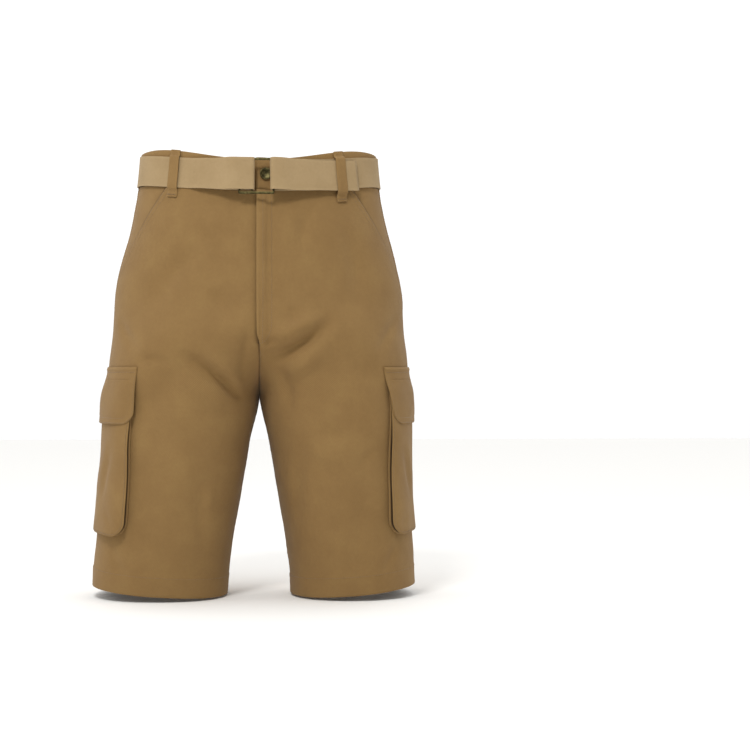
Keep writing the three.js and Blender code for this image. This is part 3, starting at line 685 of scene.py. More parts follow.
def pucker(distance, along, seed):
    """The little waves that a row of stitching draws up beside it."""
    wave = noise.noise(Vector((along / PUCKER["length"] * 2.2, distance / 14, seed)))
    return bump(distance, PUCKER["reach"]) * PUCKER["lift"] * wave


def edge_round(distance):
    """How far a turned edge drops away at a distance from its end."""
    return EDGE_ROUND * math.exp(-distance / EDGE_ROUND)


def hem_row(row):
    """The height of the cloth's row, and how deep inside the leg it lies: not at all above the hem's fold."""
    if row <= HEM_LENGTH:
        return BAND_BOTTOM - row, 0.0
    past = row - HEM_LENGTH
    if past < math.pi * HEM_TURN:
        angle = past / HEM_TURN
        return HEM_Z + HEM_TURN - HEM_TURN * math.sin(angle), HEM_TURN * (1 - math.cos(angle))
    return HEM_Z + HEM_TURN + past - math.pi * HEM_TURN, 2 * HEM_TURN


def panel(name, side, way):
    laps = way == FRONT and side == LEFT
    rows = steps(0, HEM_LENGTH, CELL) + steps(HEM_LENGTH, HEM_LENGTH + math.pi * HEM_TURN, 0.8)[1:]
    rows += steps(HEM_LENGTH + math.pi * HEM_TURN, HEM_LENGTH + math.pi * HEM_TURN + HEM_DEPTH, 6)[1:]
    edge = [0, 0.0025, 0.006, 0.012]
    columns = edge + [t for t in evenly(0, 1, 112) if 0.016 < t < 0.984] + [1 - t for t in reversed(edge)]

    @lru_cache(maxsize=None)
    def span(z):
        middle = way * across_at(z, way * (angle_at_x(z, 0) if z > CROTCH_Z else math.pi))
        return (slant_edge(z) if way == FRONT else 0), middle, middle + max(0, -fly_edge(z, laps))

    def place(column_value, row, off=0):
        z, depth = hem_row(row)
        start, middle, end = span(z)
        across = lerp(start, end, column_value)
        over = across > middle
        angle = angle_at(z, way * max(1e-6, 2 * middle - across if over else across))
        x = section_point(z, angle)[0]
        lift = fly_lift(z, 0 if over else x, laps) + off - depth
        inside = 1 - smooth(depth)
        if laps and z > FLY["edge_end"]:
            lift += FLY_ROLL["lift"] * bump(end - across - FLY_ROLL["inside"], FLY_ROLL["reach"])
        elif way == FRONT and side == RIGHT and z > FLY["edge_end"]:
            lift -= UNDER_FLY["drop"] * bump(x, UNDER_FLY["reach"])
        from_side, from_end = across - start, end - across
        if way == BACK:
            lift += inside * FELL["lift"] * smooth((from_side - FELL["near"] + 1) / 1.6) * smooth(
                (FELL["far"] + 1 - from_side) / 2)
            lift += inside * pucker(from_side - SEWN["side"], z, side * 3)
        else:
            lift += inside * pucker(from_side - SEWN["front"], z, side * 5)
        lift -= edge_round(from_side)
        if z < FLY["edge_end"] or not laps:
            lift -= edge_round(from_end)
        lift += inside * pucker(from_end - SEWN["end"], z, side * 7 + way)
        lift += inside * pucker(z - HEM_Z - SEWN["hem"], across, side * 11 + way)
        lift += inside * HEM_STEP["lift"] * (1 - smooth((z - HEM_Z - HEM_STEP["above"]) / HEM_STEP["reach"]))
        point = form_point(-side if over else side, z, angle, lift)
        seam = fly_edge(z, laps) * MM
        if off == 0 and column_value == 1 and z < CROTCH_Z:
            point.y = 0
        elif off == 0 and column_value == 1 and seam > 0:
            point.x = 0
        point.y = -way * max(0, -way * point.y)
        point.x = side * max(min(seam, 0) if z > CROTCH_Z else 0, side * point.x)
        return point

    def worn(column_value, row):
        z, _ = hem_row(row)
        start, _, end = span(z)
        across = lerp(start, end, column_value)
        # Painted shadow: the right front is drawn dark beside the lap's edge; other edges are paled by rubbing.
        if way == FRONT and not laps and FLY["edge_end"] < z and end - across < 5:
            return -UNDER_FLY["painted_shade"] * math.exp(-(end - across) / UNDER_FLY["fade"])
        edges = [math.exp(-distance / RUBBED) for distance in (across - start, end - across, abs(z - HEM_Z))]
        if laps and z > FLY["edge_end"]:
            edges.append(1.2 * bump(end - across, 6))
        return min(1, 0.55 * max(edges))

    def on_cloth(across, z, off):
        """A point on the finished panel, for its stitching."""
        start, _, end = span(z)
        return place((way * across - start) / (end - start), BAND_BOTTOM - z, off)

    cloth(name, columns, rows, place, CLOTH["leg"], [name.replace("cloth_", "")],
          worn=worn)
    return on_cloth


ON_PANEL = {(side, way): panel(f"cloth_{part}_{hand}", side, way)
            for hand, side in HANDS for part, way in (("front", FRONT), ("back", BACK))}


# --- Hip pieces behind the slanted pockets ---
for hand, side in HANDS:
    # Painted shadow: each hip piece is drawn darker towards the slanted pocket edge over it.
    cloth(f"cloth_hip_{hand}", evenly(0, 1, 90), steps(BAND_BOTTOM, HIP["bottom"], 4),
          lambda t, z, off=0, side=side: across_point(
              side, z, lerp(-HIP["under"], slant_edge(z) + HIP["lap"], t), -HIP["inset"] + off),
          CLOTH["leg"], [f"hip_{hand}"], worn=lambda t, z: -0.8 * math.exp(
            -abs(slant_edge(z) - lerp(-HIP["under"], slant_edge(z) + HIP["lap"], t)) / 1.8))


# --- Waistband ---
BAND_LAP = dict(length=30, inset=2.8, start=42, end=10)


def waistband():
    """One strip folded over the rim, with its inner ply, its right end passing under its left end."""
    places = steps(-FLY["lap"], WAIST_ROUND + BAND_LAP["length"], 4)
    turn = 0.9
    # Each row is (share of the band's height, depth inside, rise over the rim).
    near_rim = 0.94
    rows = [(t, 0, 0) for t in evenly(0, near_rim, 9)]
    rows += [(1, turn * (1 - math.cos(a)), math.sin(a)) for a in evenly(0, math.pi, 6)]
    rows += [(t, 2 * turn, 0) for t in evenly(near_rim, 0, 6)]

    def place(where, row, off=0):
        t, depth, rise = row
        inset = BAND_LAP["inset"] * smooth((where - WAIST_ROUND + BAND_LAP["start"]) / (
            BAND_LAP["start"] - BAND_LAP["end"]))
        z = lerp(BAND_BOTTOM + 0.3, rim_z(where) - turn, t) + rise * turn
        wave = 0.35 * noise.noise(Vector((where / 22, t * 1.5, 4 + depth)))
        return waist_point(where, z, off - inset - depth + wave * (1 - min(1, depth)))

    middle = places[len(places) // 2]
    cloth("waistband_cloth", places, rows, place, CLOTH["band"], ["waistband"],
          outward=waist_point(middle, BAND_TOP + 1, 0) - waist_point(middle, BAND_TOP, 0),
          worn=lambda where, row: 0.6 * smooth((row[0] - 0.85) / 0.1))


waistband()


# --- Belt ---
def belt_route():
    """The strap's route, from its free end round to its folded end, as (place, off, share of its free end)."""
    def turn(x):
        middle = (BELT["inner"] + BELT["outer"]) / 2
        return [(x + BELT_FOLD["turn"] * math.sin(a), middle + BELT_FOLD["turn"] * math.cos(a))
                for a in evenly(0, math.pi, 12)]

    def settled(past):
        return lerp(BELT["outer"], BELT["stacked"], smooth(past / BELT_FOLD["settle"]))

    tail_end = place_at_x(BELT_TAIL["end_x"])
    left_turn = WAIST_ROUND + BELT_FOLD["left_x"]
    fold_end = WAIST_ROUND + BELT_FOLD["end_x"]
    tail = [(p, settled(p - BUCKLE["right"] - BELT_FOLD["clear"]))
            for p in steps(tail_end, BELT_FOLD["right_x"] + 1, 4)]

    def climbed(p):
        """The strap climbs over its own folded end, then turns round the mid bar and ends underneath."""
        over = lerp(BELT["inner"], BELT["stacked"], smooth((p - fold_end + 24) / 22))
        return over + settled(WAIST_ROUND + BUCKLE["left"] - BELT_FOLD["clear"] - p) - BELT["stacked"]

    strap = [(p, climbed(p)) for p in steps(BELT_FOLD["right_x"] - 1, left_turn - 1, 4)]
    end = [(p, BELT["inner"]) for p in steps(left_turn - 1, fold_end, 3)]
    right = [(2 * BELT_FOLD["right_x"] - x, off) for x, off in turn(BELT_FOLD["right_x"])]
    route = [(p, off, clamp01((p - BELT_FOLD["right_x"]) / (tail_end - BELT_FOLD["right_x"])))
             for p, off in tail]
    return route + [(p, off, 0) for p, off in right + strap + turn(left_turn) + end]


def belt():
    route = belt_route()
    edges = [-1, -0.985, -0.95, -0.8, -0.5, 0, 0.5, 0.8, 0.95, 0.985, 1]

    def place(step, edge, off=0):
        where, stand, tail = route[step]
        z = belt_z(where) - edge * BELT["width"] / 2 - BELT_TAIL["sag"] * tail
        by_buckle = 1 - smooth((abs(from_front(where)) - BELT_SINK["start"]) / BELT_SINK["reach"])
        z -= BELT_SINK["edge"] * (1 + edge) * by_buckle
        wave = 0.5 * noise.noise(Vector((where / 34, stand / 6, 9))) * (1 if stand > 3 else 0.3)
        edge_wave = 0.35 * noise.noise(Vector((where / 26, stand / 6, 20))) * edge
        return waist_point(where, z + edge_wave, stand + belt_bulge(where) + wave + off)

    middle = len(route) // 2
    cloth("belt_webbing", list(range(len(route))), edges, place, BELT["ply"], ["belt"],
          outward=place(middle, 0, 1) - place(middle, 0), material=WEBBING,
          worn=lambda step, edge: 0.8 * smooth((abs(edge) - 0.8) / 0.2))


belt()


# --- Belt loops ---
def soften(path):
    """Cuts the corners of a route, twice over."""
    for _ in range(2):
        cut = [path[0]]
        for a, b in zip(path, path[1:]):
            cut += [tuple(lerp(p, q, part) for p, q in zip(a, b)) for part in (0.25, 0.75)]
        path = cut + [path[-1]]
    return path


def belt_loop(name, where, over, sag):
    top = belt_z(where) + BELT["width"] / 2
    low = belt_z(where) - BELT["width"] / 2 - sag
    bulge = belt_bulge(where)
    base = LOOP["base"]
    route = soften([(rim_z(where) + 0.4, base + 0.2), (top + 1.8, base + 1), (top + 0.9, over),
                    (top - 8, over + 0.4), (belt_z(where), over + 0.2), (low + 8, over + 0.4),
                    (low - 1.9, over), (low - 4.6, base + 0.3), (low - LOOP["below"], base)])
    half = LOOP["width"] / 2
    columns = [-half, -half * 0.93, -half * 0.75, -half * 0.4, 0, half * 0.4, half * 0.75, half * 0.93, half]

    def place(aside, row, off=0):
        z, stand = route[row]
        rounded = 0.5 * smooth((abs(aside) / half - 0.75) / 0.25)
        return waist_point(where + aside, z, stand + 0.7 - rounded + off)

    cloth(f"loop_cloth_{name}", columns, list(range(len(route))), place, CLOTH["double"],
          [f"belt_loop_{name}"],
          worn=lambda aside, row: 0.8 * smooth((abs(aside) / half - 0.6) / 0.4))
    tacks = [surface_path(lambda aside, off, z=z: waist_point(where + aside, z, base + 1.0 + off),
                          evenly(-half + 1, half - 1, 8))
             for z in (low - LOOP["below"] + up for up in LOOP_TACK["rows"])]
    stitches(f"tack_{name}", tacks, pitch=LOOP_TACK["pitch"])


for name, where, over, sag in (
        ("front_left", place_at_x(104), LOOP["over_tail"], BELT_TAIL["sag"]),
        ("front_right", place_at_x(-110), LOOP["over"], 0),
        ("side_left", FRONT_QUARTER + 32, LOOP["over"], 0),
        ("side_right", -FRONT_QUARTER - 32, LOOP["over"], 0),
        ("back", WAIST_ROUND / 2, LOOP["over"], 0)):
    belt_loop(name, where, over, sag)


# --- Topstitching on the panels ---
def panel_row(side, way, spots):
    """A row of stitches through (across, z) places on one panel."""
    on_cloth = ON_PANEL[side, way]
    return surface_path(lambda spot, off: on_cloth(*spot, off), spots)


def across_of(z, x, way):
    return way * across_at(z, angle_at_x(z, abs(x)))


FLY_STITCH = dict(x=16, edge_x=4.5, top=-26, turn=-208, end=-234)
CROTCH_SEAM = dict(x=2.4, top=-242, end=-298)
SEAT_ROWS, SEAT_END = (2.5, 8.5), -292
SIDE_ROWS = (2.0, 8.0)
SLANT_ROWS = (2.4, 8.8)
HEM_ROW = HEM_Z + 25.5

for hand, side in HANDS:
    slant_steps = steps(BAND_BOTTOM - 1, SLANT["bottom"] + 8, 2)
    front_rows = [panel_row(side, FRONT, [(slant_edge(z) + inside, z) for z in slant_steps])
                  for inside in SLANT_ROWS]
    front_rows.append(panel_row(side, FRONT, [(across, HEM_ROW) for across in steps(
        1, across_at(HEM_ROW, math.pi) - 1, 3)]))
    back_rows = [panel_row(side, BACK, [(-across, z) for z in steps(start, end, 3)])
                 for across in SIDE_ROWS
                 for start, end in ((BAND_BOTTOM - 1, FLAP["top"] + 2), (POCKET["bottom"] - 4, HEM_ROW))]
    back_rows.append(panel_row(side, BACK, [(-across, HEM_ROW) for across in steps(
        1, -across_at(HEM_ROW, -math.pi) - 1, 3)]))
    if side == LEFT:
        turn = FLY_STITCH["turn"] - FLY_STITCH["end"]
        fly = [(FLY_STITCH["x"], z) for z in steps(FLY_STITCH["top"], FLY_STITCH["turn"], 3)]
        fly += [(FLY_STITCH["x"] * math.cos(a), FLY_STITCH["turn"] - turn * math.sin(a))
                for a in evenly(0.1, 1.5, 12)]
        crotch_seam = [(CROTCH_SEAM["x"], z) for z in steps(CROTCH_SEAM["top"], CROTCH_SEAM["end"], 3)]
        fly_edge_row = [(FLY_STITCH["edge_x"], z) for z in steps(FLY_STITCH["top"], FLY_STITCH["end"], 3)]
        front_rows += [panel_row(side, FRONT, [(across_of(z, x, FRONT), z) for x, z in row])
                       for row in (fly, crotch_seam, fly_edge_row)]
        seat_steps = steps(BAND_BOTTOM - 1, SEAT_END, 3)
        back_rows += [panel_row(side, BACK, [(across_of(z, x, BACK), z) for z in seat_steps])
                      for x in SEAT_ROWS]
    stitches(f"stitches_front_{hand}", front_rows)
    stitches(f"stitches_back_{hand}", back_rows)


# --- Cargo pockets ---
POCKET_CREASE_COLUMNS = ("across1", "z1", "across2", "z2", "spread", "lift")
POCKET_CREASES = [dict(zip(POCKET_CREASE_COLUMNS, row)) for row in (
    (78, -366, 42, -452, 8, -2.4),
    (62, -356, 30, -440, 9, 1.3),
    (24, -372, 10, -414, 7, -0.9),
    (-18, -394, -66, -384, 8, -1.1),
    (-78, -356, -58, -396, 7, -1.2),
    (-26, -474, -72, -462, 8, -0.9),
    (66, -466, 86, -486, 6, -1.3),
    (-20, -430, -58, -440, 12, 0.9),
)]


def pocket_crease(side, across, z):
    lift = 0.0
    shift = 0 if side == LEFT else 6  # the two pockets don't crease quite alike
    for crease in POCKET_CREASES:
        start = Vector((crease["across1"] - shift, crease["z1"] + shift))
        along = Vector((crease["across2"], crease["z2"])) - start
        offset = Vector((across, z)) - start
        t = 2 * offset.dot(along) / along.length_squared - 1
        if abs(t) < 1:
            aside = (along.x * offset.y - along.y * offset.x) / along.length / crease["spread"]
            lift += crease["lift"] * (1 - t * t) ** 1.5 * bump(aside, 1)
    return lift + 0.5 * noise.noise(Vector((across / 26, z / 26, side * 40)))


def pocket_lift(across, z):
    """The bellows lie close under the flap, open lower down, and gape most at the lower corners."""
    stand = POCKET_STAND
    opened = smooth((POCKET["top"] + 8 - z) / 110)
    gape = 0.7 * opened + 0.3 * smooth((-420 - z) / 60)
    edge = stand["back_edge"] if across < 0 else stand["edge"]
    return stand["middle"] * lerp(0.6, 1, opened) + gape * edge * smooth(
        (abs(across) - stand["flat_to"]) / (stand["full"] - stand["flat_to"]))


def on_leg(side, z, across, off):
    """A point over the leg at a pocket's own place: the right pocket is sewn a little further forward."""
    return across_point(side, z, across + POCKET_FORWARD[side], off)


def reach_at(z, width, bottom, corner):
    into = max(0, bottom + corner - z)
    return width - (corner - math.sqrt(max(0, corner**2 - into**2)))


def corner_rows(bottom, corner, count):
    return [bottom + corner * (1 - math.cos(math.radians(angle))) for angle in evenly(90, 0, count)][1:]


def outline(front_at, back, top, bottom, corner, bends):
    """A row of stitching as (across, z): down the front edge, along the bottom and up the back."""
    low = bottom + corner
    bend = [(corner - corner * math.cos(a), corner * math.sin(a)) for a in evenly(0, math.pi / 2, bends)]
    front = front_at(low)
    spots = [(front_at(z), z) for z in steps(top, low, 3)] + [(front - x, low - y) for x, y in bend]
    spots += [(across, bottom) for across in steps(front - corner, corner - back, 3)]
    spots += [(x - back, low - y) for x, y in reversed(bend)]
    return spots + [(-back, z) for z in steps(low, top, 3)]


PLEAT_LINE = dict(top=1.4, bottom=-4.8, closed=-478)  # how far across the slit runs, and where it closes
EDGE_SEAM = 2.6  # from the face's edge to its stitching
SEAM_SINK = dict(face=0.35, flap=0.45)  # how far a row of stitches draws the cloth in
PLEAT_FOLD = (("slit", 0), ("slit", -1), ("half", -1), ("half", -2))


def slit_width(z):
    return 0.35 + 1.5 * smooth((z - PLEAT_LINE["closed"]) / 60)


def pocket(hand, side):
    flat = [0, 0.01, 0.03, 0.06] + evenly(0.1, 1, 26)
    columns = [("back", t) for t in flat]
    columns += [("pleat", -1, width, ply) for width, ply in PLEAT_FOLD]
    columns += [("pleat", 1, width, ply) for width, ply in reversed(PLEAT_FOLD)]
    columns += [("front", t) for t in reversed(flat)]
    rows = steps(POCKET["top"], POCKET["bottom"] + POCKET["corner"], CELL) + corner_rows(
        POCKET["bottom"], POCKET["corner"], 12)

    def half_of(part, z):
        """The way to one half of the face, and how wide it is."""
        return (FRONT if part == "front" else BACK,
                reach_at(z, POCKET[part], POCKET["bottom"], POCKET["corner"]))

    def place(column_value, z, off=0):
        up = clamp01((z - POCKET["bottom"]) / (POCKET["top"] - POCKET["bottom"]))
        middle = lerp(PLEAT_LINE["bottom"], PLEAT_LINE["top"], up)
        half_slit = slit_width(z) / 2 + 0.5
        if column_value[0] == "pleat":
            _, way, width, ply = column_value
            across = middle + way * (half_slit if width == "slit" else PLEAT["half"])
            deep = ply * min(PLEAT["ply"], 0.4 * pocket_lift(across, z))
        else:
            way, edge = half_of(column_value[0], z)
            across = lerp(way * edge, middle + way * (half_slit + 0.8), column_value[1])
            from_edge = min(abs(way * edge - across), z - POCKET["bottom"])
            deep = -SEAM_SINK["face"] * bump(from_edge - EDGE_SEAM, 1.6) - edge_round(from_edge)
            deep += pocket_crease(side, across, z) * smooth(from_edge / 6)
            deep -= 0.5 * math.exp(-abs(across - middle) / 3)
        return on_leg(side, z, across, pocket_lift(across, z) + deep + off)

    def worn(column_value, z):
        if column_value[0] == "pleat":
            return 0
        _, edge = half_of(column_value[0], z)
        from_edge = min(column_value[1] * edge, z - POCKET["bottom"])
        return 0.6 * math.exp(-from_edge / RUBBED)

    def edge_path(inside):
        spots = outline(lambda z: POCKET["front"] - inside, POCKET["back"] - inside, FLAP["bottom"] + 8,
                        POCKET["bottom"] + inside, POCKET["corner"] - inside, 8)
        return surface_path(lambda spot, off: on_leg(
            side, spot[1], spot[0], pocket_lift(*spot) - 0.15 + off), spots)

    seams = stitches(f"stitches_pocket_{hand}", [edge_path(EDGE_SEAM)])
    cloth(f"cloth_pocket_{hand}", columns, rows, place, CLOTH["face"], [f"cargo_pocket_{hand}"],
          worn=worn)


GUSSET_HELD = dict(edge=2.2, under_face=1.3, under_pleat=3.2)  # its head: in from the face, and below it
# Across the bellows strip, from its foot on the leg to its head at the pocket: how far inwards, and how high.
GUSSET_FOLD = ((0, 0), (-0.04, 0.14), (-0.03, 0.26), (0.04, 0.34), (0.45, 0.4), (0.8, 0.46), (0.45, 0.54),
               (0.18, 0.68), (0.05, 0.88), (0, 1))


def gusset(hand, side):
    """The bellows strip: a fold stands along the leg, then the strip turns in and comes out to the pocket."""
    corner = POCKET["corner"] - GUSSET_HELD["edge"]
    low = POCKET["bottom"] + POCKET["corner"]
    bend = [(corner * math.cos(a), -corner * math.sin(a)) for a in evenly(0, math.pi / 2, 12)]
    front, back = POCKET["front"] - POCKET["corner"], POCKET["back"] - POCKET["corner"]
    route = [(front, z, corner, 0) for z in steps(POCKET["top"], low, 4)[:-1]]
    route += [(front, low, x, y) for x, y in bend]
    route += [(across, low, 0, -corner) for across in steps(front, -back, 4)[1:-1]]
    route += [(-back, low, -x, y) for x, y in reversed(bend)]
    route += [(-back, z, -corner, 0) for z in steps(low, POCKET["top"], 4)[1:]]

    def place(step, row, off=0):
        across, z, x, y = route[step]
        inwards, high = GUSSET_FOLD[row]
        fold = 1 - inwards - off / 20
        spot = (across + x * fold, z + y * fold)
        edge = (across + x, z + y)
        head = pocket_lift(*edge) - GUSSET_HELD["under_face"]
        if y:
            head -= GUSSET_HELD["under_pleat"] * (1 - smooth((abs(spot[0] + 4) - 15) / 3))
        return on_leg(side, spot[1], spot[0], lerp(0.3, head, high))

    # Painted shade: past its standing fold the strip is drawn dark, inside the bellows.
    cloth(f"cloth_gusset_{hand}", list(range(len(route))), list(range(len(GUSSET_FOLD))), place,
          CLOTH["gusset"], [f"cargo_gusset_{hand}"],
          outward=Vector((0, 0, -1)), worn=lambda step, row: 0 if row < 3 else -1)


FLAP_SEAM = -272.5
FLAP_ROWS = (1.8, 8.2)


def flap(hand, side):
    columns = [0, 0.006, 0.015, 0.03] + evenly(0.05, 0.95, 56) + [0.97, 0.985, 0.994, 1]
    rows = steps(FLAP["top"] + 1.5, FLAP["step"] - 6, 0.9)
    rows += steps(FLAP["step"] - 6, FLAP["bottom"] + FLAP["corner"], 2)[1:]
    rows += corner_rows(FLAP["bottom"], FLAP["corner"], 10)

    def edges(z):
        low = (FLAP["top"] - z) / (FLAP["top"] - FLAP["bottom"])
        return (reach_at(z, lerp(*FLAP_FRONT[side], low), FLAP["bottom"], FLAP["corner"]),
                reach_at(z, FLAP["back"], FLAP["bottom"], FLAP["corner"]))

    def lift_at(across, z, from_edge):
        over = pocket_lift(across, z) + FLAP["gap"] + 0.8
        ridge = 0.8 * bump(z - FLAP["top"] + 1.6, 2)
        lift = lerp(1.6, over, smooth((FLAP_SEAM + 3 - z) / 34)) + ridge
        lift += (1.3 * noise.noise(Vector((across / 38, z / 30, side * 60)))
                 + 1.6 * bump(across + 8, 40)) * smooth((FLAP["step"] - z) / 20)
        lift -= SEAM_SINK["flap"] * bump(from_edge - FLAP_ROWS[1], 2) + 0.8 * math.exp(-from_edge / EDGE_ROUND)
        return lift

    def spot_at(t, z):
        """How far across a place is, and how far in from the flap's edge."""
        front, back = edges(z)
        across = lerp(-back, front, t)
        return across, min(across + back, front - across, z - FLAP["bottom"])

    def place(t, z, off=0):
        across, from_edge = spot_at(t, z)
        return on_leg(side, z, across, lift_at(across, z, from_edge) + off)

    def worn(t, z):
        _, from_edge = spot_at(t, z)
        return max(0.7 * math.exp(-from_edge / 2.5), 0.5 * math.exp(-abs(z - FLAP["top"]) / 3))

    def edge_path(inside):
        spots = outline(lambda z: edges(z)[0] - inside, FLAP["back"] - inside, FLAP_SEAM - 4,
                        FLAP["bottom"] + inside, FLAP["corner"] - inside, 6)
        return surface_path(lambda spot, off: on_leg(
            side, spot[1], spot[0], lift_at(*spot, inside) + off), spots)

    rows_of_stitches = [edge_path(inside) for inside in FLAP_ROWS] + [surface_path(
        lambda across, off: on_leg(side, FLAP_SEAM, across, lift_at(across, FLAP_SEAM, 20) + off),
        steps(2 - FLAP["back"], edges(FLAP_SEAM)[0] - 2, 3))]
    seams = stitches(f"stitches_flap_{hand}", rows_of_stitches)
    cloth(f"cloth_flap_{hand}", columns, rows, place, CLOTH["double"], [f"cargo_flap_{hand}"],
          worn=worn)


for hand, side in HANDS:
    pocket(hand, side)
    gusset(hand, side)
    flap(hand, side)


# --- Back welts and buttons ---
def welt(hand, side, name, way):
    """A folded strip whose fold lies along the pocket's slit."""
    near = WELT["slit"] + way * 0.25
    turn = [(0.9 * math.sin(a), 0.9 * math.cos(a)) for a in evenly(0, math.pi, 6)]
    rows = [(WELT["height"] * (1 - t), 0.9) for t in evenly(0, 0.9, 5)]
    rows += [(0.6 - rise * 0.6, depth) for rise, depth in turn]
    rows += [(WELT["height"] * t, -0.9) for t in evenly(0.15, 0.95, 4)]

    def place(across, row, off=0):
        height, depth = row
        return across_point(side, near + way * height, across, WELT["stand"] + 0.6 + depth * 0.9 + off)

    start, end, far = -WELT["start"], -WELT["end"], WELT["height"] - 1
    lines = [[(across, near + way * far) for across in steps(start - 1, end + 1, 3)]]
    lines += [[(across, near + way * h) for h in steps(0.4, far, 1)] for across in (start - 1.2, end + 1.2)]
    seams = stitches(f"stitches_{name}_{hand}", [surface_path(lambda spot, off: across_point(
        side, spot[1], spot[0], WELT["stand"] + 1.4 + off), spots) for spots in lines])
    cloth(f"cloth_{name}_{hand}", steps(start, end, 4), rows, place, CLOTH["welt"],
          [f"{name}_{hand}"],
          worn=lambda across, row: 0.7 * smooth(1 - row[0] / 3))


def waist_frame(place, z, off):
    """Axes on the body: x level, y up along the cloth, z out of it."""
    point = waist_point(place, z, off)
    out = (waist_point(place, z, off + 1) - point).normalized()
    level = Vector((-out.y, out.x, 0)).normalized()
    matrix = Matrix((level, out.cross(level), out)).transposed().to_4x4()
    matrix.translation = point
    return matrix


BUTTON = dict(radius=8, thick=3, eye_out=2.1)


def button(name, node_name, matrix, material, sewn_flat):
    """A turned button with a raised rim and a dished middle, and two bars of thread where it is sewn flat."""
    radius, thick = BUTTON["radius"], BUTTON["thick"]
    # Its outline, from the middle of the face round the rim to the middle of the back.
    profile = [(0, thick - 1.1), (radius - 2.6, thick - 1.1), (radius - 1.9, thick - 0.7),
               (radius - 1.5, thick - 0.1), (radius - 0.9, thick), (radius - 0.3, thick - 0.3),
               (radius, thick - 1), (radius - 0.2, 0.8), (radius - 1.1, 0.1), (0, 0)]
    mesh = bmesh.new()
    points = [mesh.verts.new((r * MM, 0, z * MM)) for r, z in profile]
    edges = [mesh.edges.new(pair) for pair in zip(points, points[1:])]
    bmesh.ops.spin(mesh, geom=points + edges, cent=(0, 0, 0), axis=(0, 0, 1), angle=2 * math.pi, steps=40,
                   use_merge=True)
    bmesh.ops.remove_doubles(mesh, verts=mesh.verts, dist=1e-6)
    bmesh.ops.recalc_face_normals(mesh, faces=mesh.faces)
    mesh.transform(matrix)
    finish_piece(new_object(name, mesh), material, [node_name])
    if sewn_flat:
        thread = bmesh.new()
        for way in (-1, 1):
            middle = Matrix.Translation((0, way * BUTTON["eye_out"] / 2 * MM * 1.4, (thick - 1.0) * MM))
            bar = Matrix.Diagonal((BUTTON["eye_out"] * MM * 1.1, 0.5 * MM, 0.5 * MM, 1))
            bmesh.ops.create_uvsphere(thread, u_segments=10, v_segments=6, radius=1,
                                      matrix=matrix @ middle @ bar)
        finish_piece(new_object(f"{name}_thread", thread), THREAD, [])


for hand, side in HANDS:
    welt(hand, side, "welt_upper", 1)
    welt(hand, side, "welt_lower", -1)
    button(f"sewn_button_{hand}", f"back_button_{hand}", waist_frame(
        side * (FRONT_QUARTER + BACK_BUTTON["across"]), BACK_BUTTON["z"], 0.4), HORN, True)
button("shank_button", "waist_button", waist_frame(WAIST_BUTTON["x"], WAIST_BUTTON["z"], 0.4), BRASS,
       False)


# --- Buckle ---
def buckle():
    """A cast frame: a grid with its two windows taken out, given its depth and rounded."""
    left, right, rail, bar, middle = (BUCKLE[key] for key in ("left", "right", "rail", "bar", "mid_bar"))
    half = BUCKLE["height"] / 2
    xs = [left, left + bar, middle - bar / 2, middle + bar / 2, right - bar, right]
    ys = [-half, rail - half, half - rail, half]
    centre = (left + right) / 2
    mesh = bmesh.new()
    bmesh.ops.create_grid(mesh, x_segments=5, y_segments=3, size=0.5)
    for vertex in mesh.verts:
        i, j = round((vertex.co.x + 0.5) * 5), round((vertex.co.y + 0.5) * 3)
        vertex.co = ((xs[i] - centre) * MM, ys[j] * MM, 0)
    windows = [face for face in mesh.faces if abs(face.calc_center_median().y) < 0.001
               and min(abs(face.calc_center_median().x / MM + centre - bar_x) for bar_x in (
                   left + bar / 2, middle, right - bar / 2)) > bar]
    bmesh.ops.delete(mesh, geom=windows, context="FACES")
    raised = bmesh.ops.extrude_face_region(mesh, geom=mesh.faces[:])
    bmesh.ops.translate(mesh, verts=[g for g in raised["geom"] if isinstance(g, bmesh.types.BMVert)],
                        vec=(0, 0, BUCKLE["thick"] * 1.2 * MM))
    bmesh.ops.recalc_face_normals(mesh, faces=mesh.faces)
    corners = [edge for edge in mesh.edges if all(
        abs(abs(v.co.x) - (right - left) / 2 * MM) < 1e-6 and abs(abs(v.co.y) - half * MM) < 1e-6
        for v in edge.verts)]
    bmesh.ops.bevel(mesh, geom=corners, offset=4 * MM, segments=6, profile=0.5, affect="EDGES", material=-1)
    sharp = [edge for edge in mesh.edges if len(edge.link_faces) == 2 and edge.calc_face_angle() > 1.2]
    bmesh.ops.bevel(mesh, geom=sharp, offset=0.75 * MM, segments=3, profile=0.5, affect="EDGES", material=-1)
    mesh.transform(waist_frame(centre, belt_z(centre) - BUCKLE["drop"], BUCKLE["off"] + BELT_BULGE["stand"]))
    finish_piece(new_object("cast_buckle", mesh), BRASS, ["buckle"])


buckle()


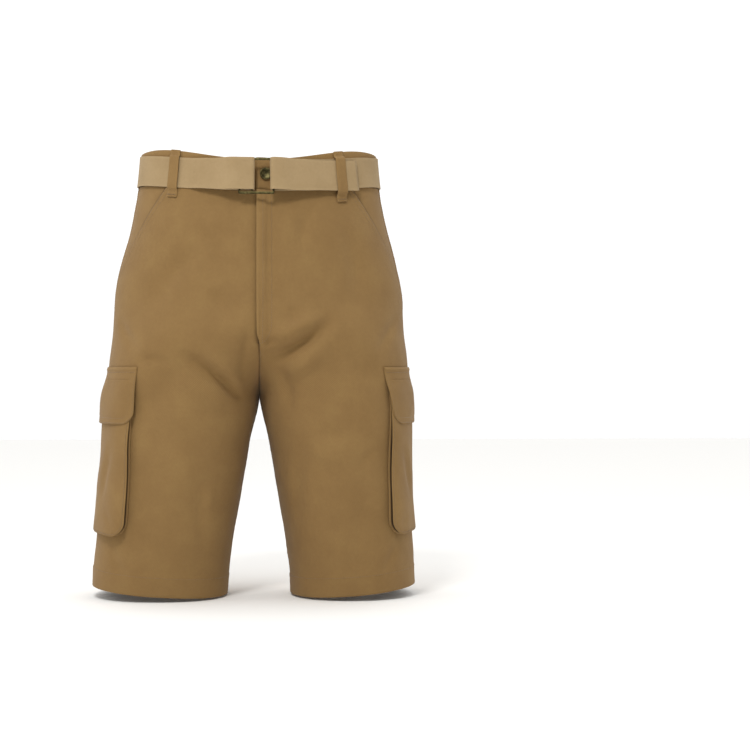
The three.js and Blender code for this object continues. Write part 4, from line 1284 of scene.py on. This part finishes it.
# --- Camera, light and floor ---
CAMERA = dict(distance=2.5, z=-0.276, lens=88.2, yaw=-3.6)
FLOOR_DROP = 0.002  # below the hems
camera = bpy.data.objects.new("camera", bpy.data.cameras.new("camera"))
camera.data.lens = CAMERA["lens"]
camera.data.sensor_width = 36
camera.location = (0, -CAMERA["distance"], CAMERA["z"])
camera.rotation_euler = (math.radians(90), 0, math.radians(CAMERA["yaw"]))
bpy.context.scene.collection.objects.link(camera)
bpy.context.scene.camera = camera

world = bpy.data.worlds.new("studio")
world.use_nodes = True
# White behind and above the garment, and dim from the camera's side, so that the lamp can model the folds.
sky = world.node_tree
background = sky.nodes["Background"]
background.inputs["Color"].default_value = (1, 1, 1, 1)
around = node(sky, "ShaderNodeTexCoord")
height = node(sky, "ShaderNodeVectorMath", {"operation": "DOT_PRODUCT", "1": (0, 0.55, 0.83)},
              _0=around.outputs["Generated"])
glow = node(sky, "ShaderNodeMapRange", {"clamp": False, "From Min": -0.5, "From Max": 0.5, "To Min": 0.02,
                                        "To Max": 1.0}, Value=height.outputs["Value"])
least = node(sky, "ShaderNodeMath", {"operation": "MAXIMUM", "1": 0.03}, _0=glow.outputs[0])
sky.links.new(least.outputs[0], background.inputs["Strength"])
bpy.context.scene.world = world
bpy.context.scene.view_settings.view_transform = "Standard"  # so that cloth's colours come out as given

floor_mesh = bmesh.new()
bmesh.ops.create_grid(floor_mesh, x_segments=1, y_segments=1, size=6)
bmesh.ops.translate(floor_mesh, verts=floor_mesh.verts, vec=(0, 0, cad_bounds[0][2] - FLOOR_DROP))
floor = new_object("floor", floor_mesh)
floor_material, _, _ = new_material("matt_white_floor", Base_Color=linear("#f4f3f0"), Roughness=0.9)
floor.data.materials.append(floor_material)


def area_light(name, location, target, size, power):
    light = bpy.data.objects.new(name, bpy.data.lights.new(name, "AREA"))
    light.data.shape = "RECTANGLE"
    light.data.size, light.data.size_y = size
    light.data.energy = power
    light.location = location
    light.rotation_euler = (Vector(target) - Vector(location)).to_track_quat("-Z", "Y").to_euler()
    bpy.context.scene.collection.objects.link(light)


area_light("key", (-0.5, -1.65, 1.75), (0, 0, -0.25), (0.5, 0.5), 31)
area_light("side", (-2.2, -0.6, 0.5), (0, 0, -0.3), (0.8, 1.2), 3)
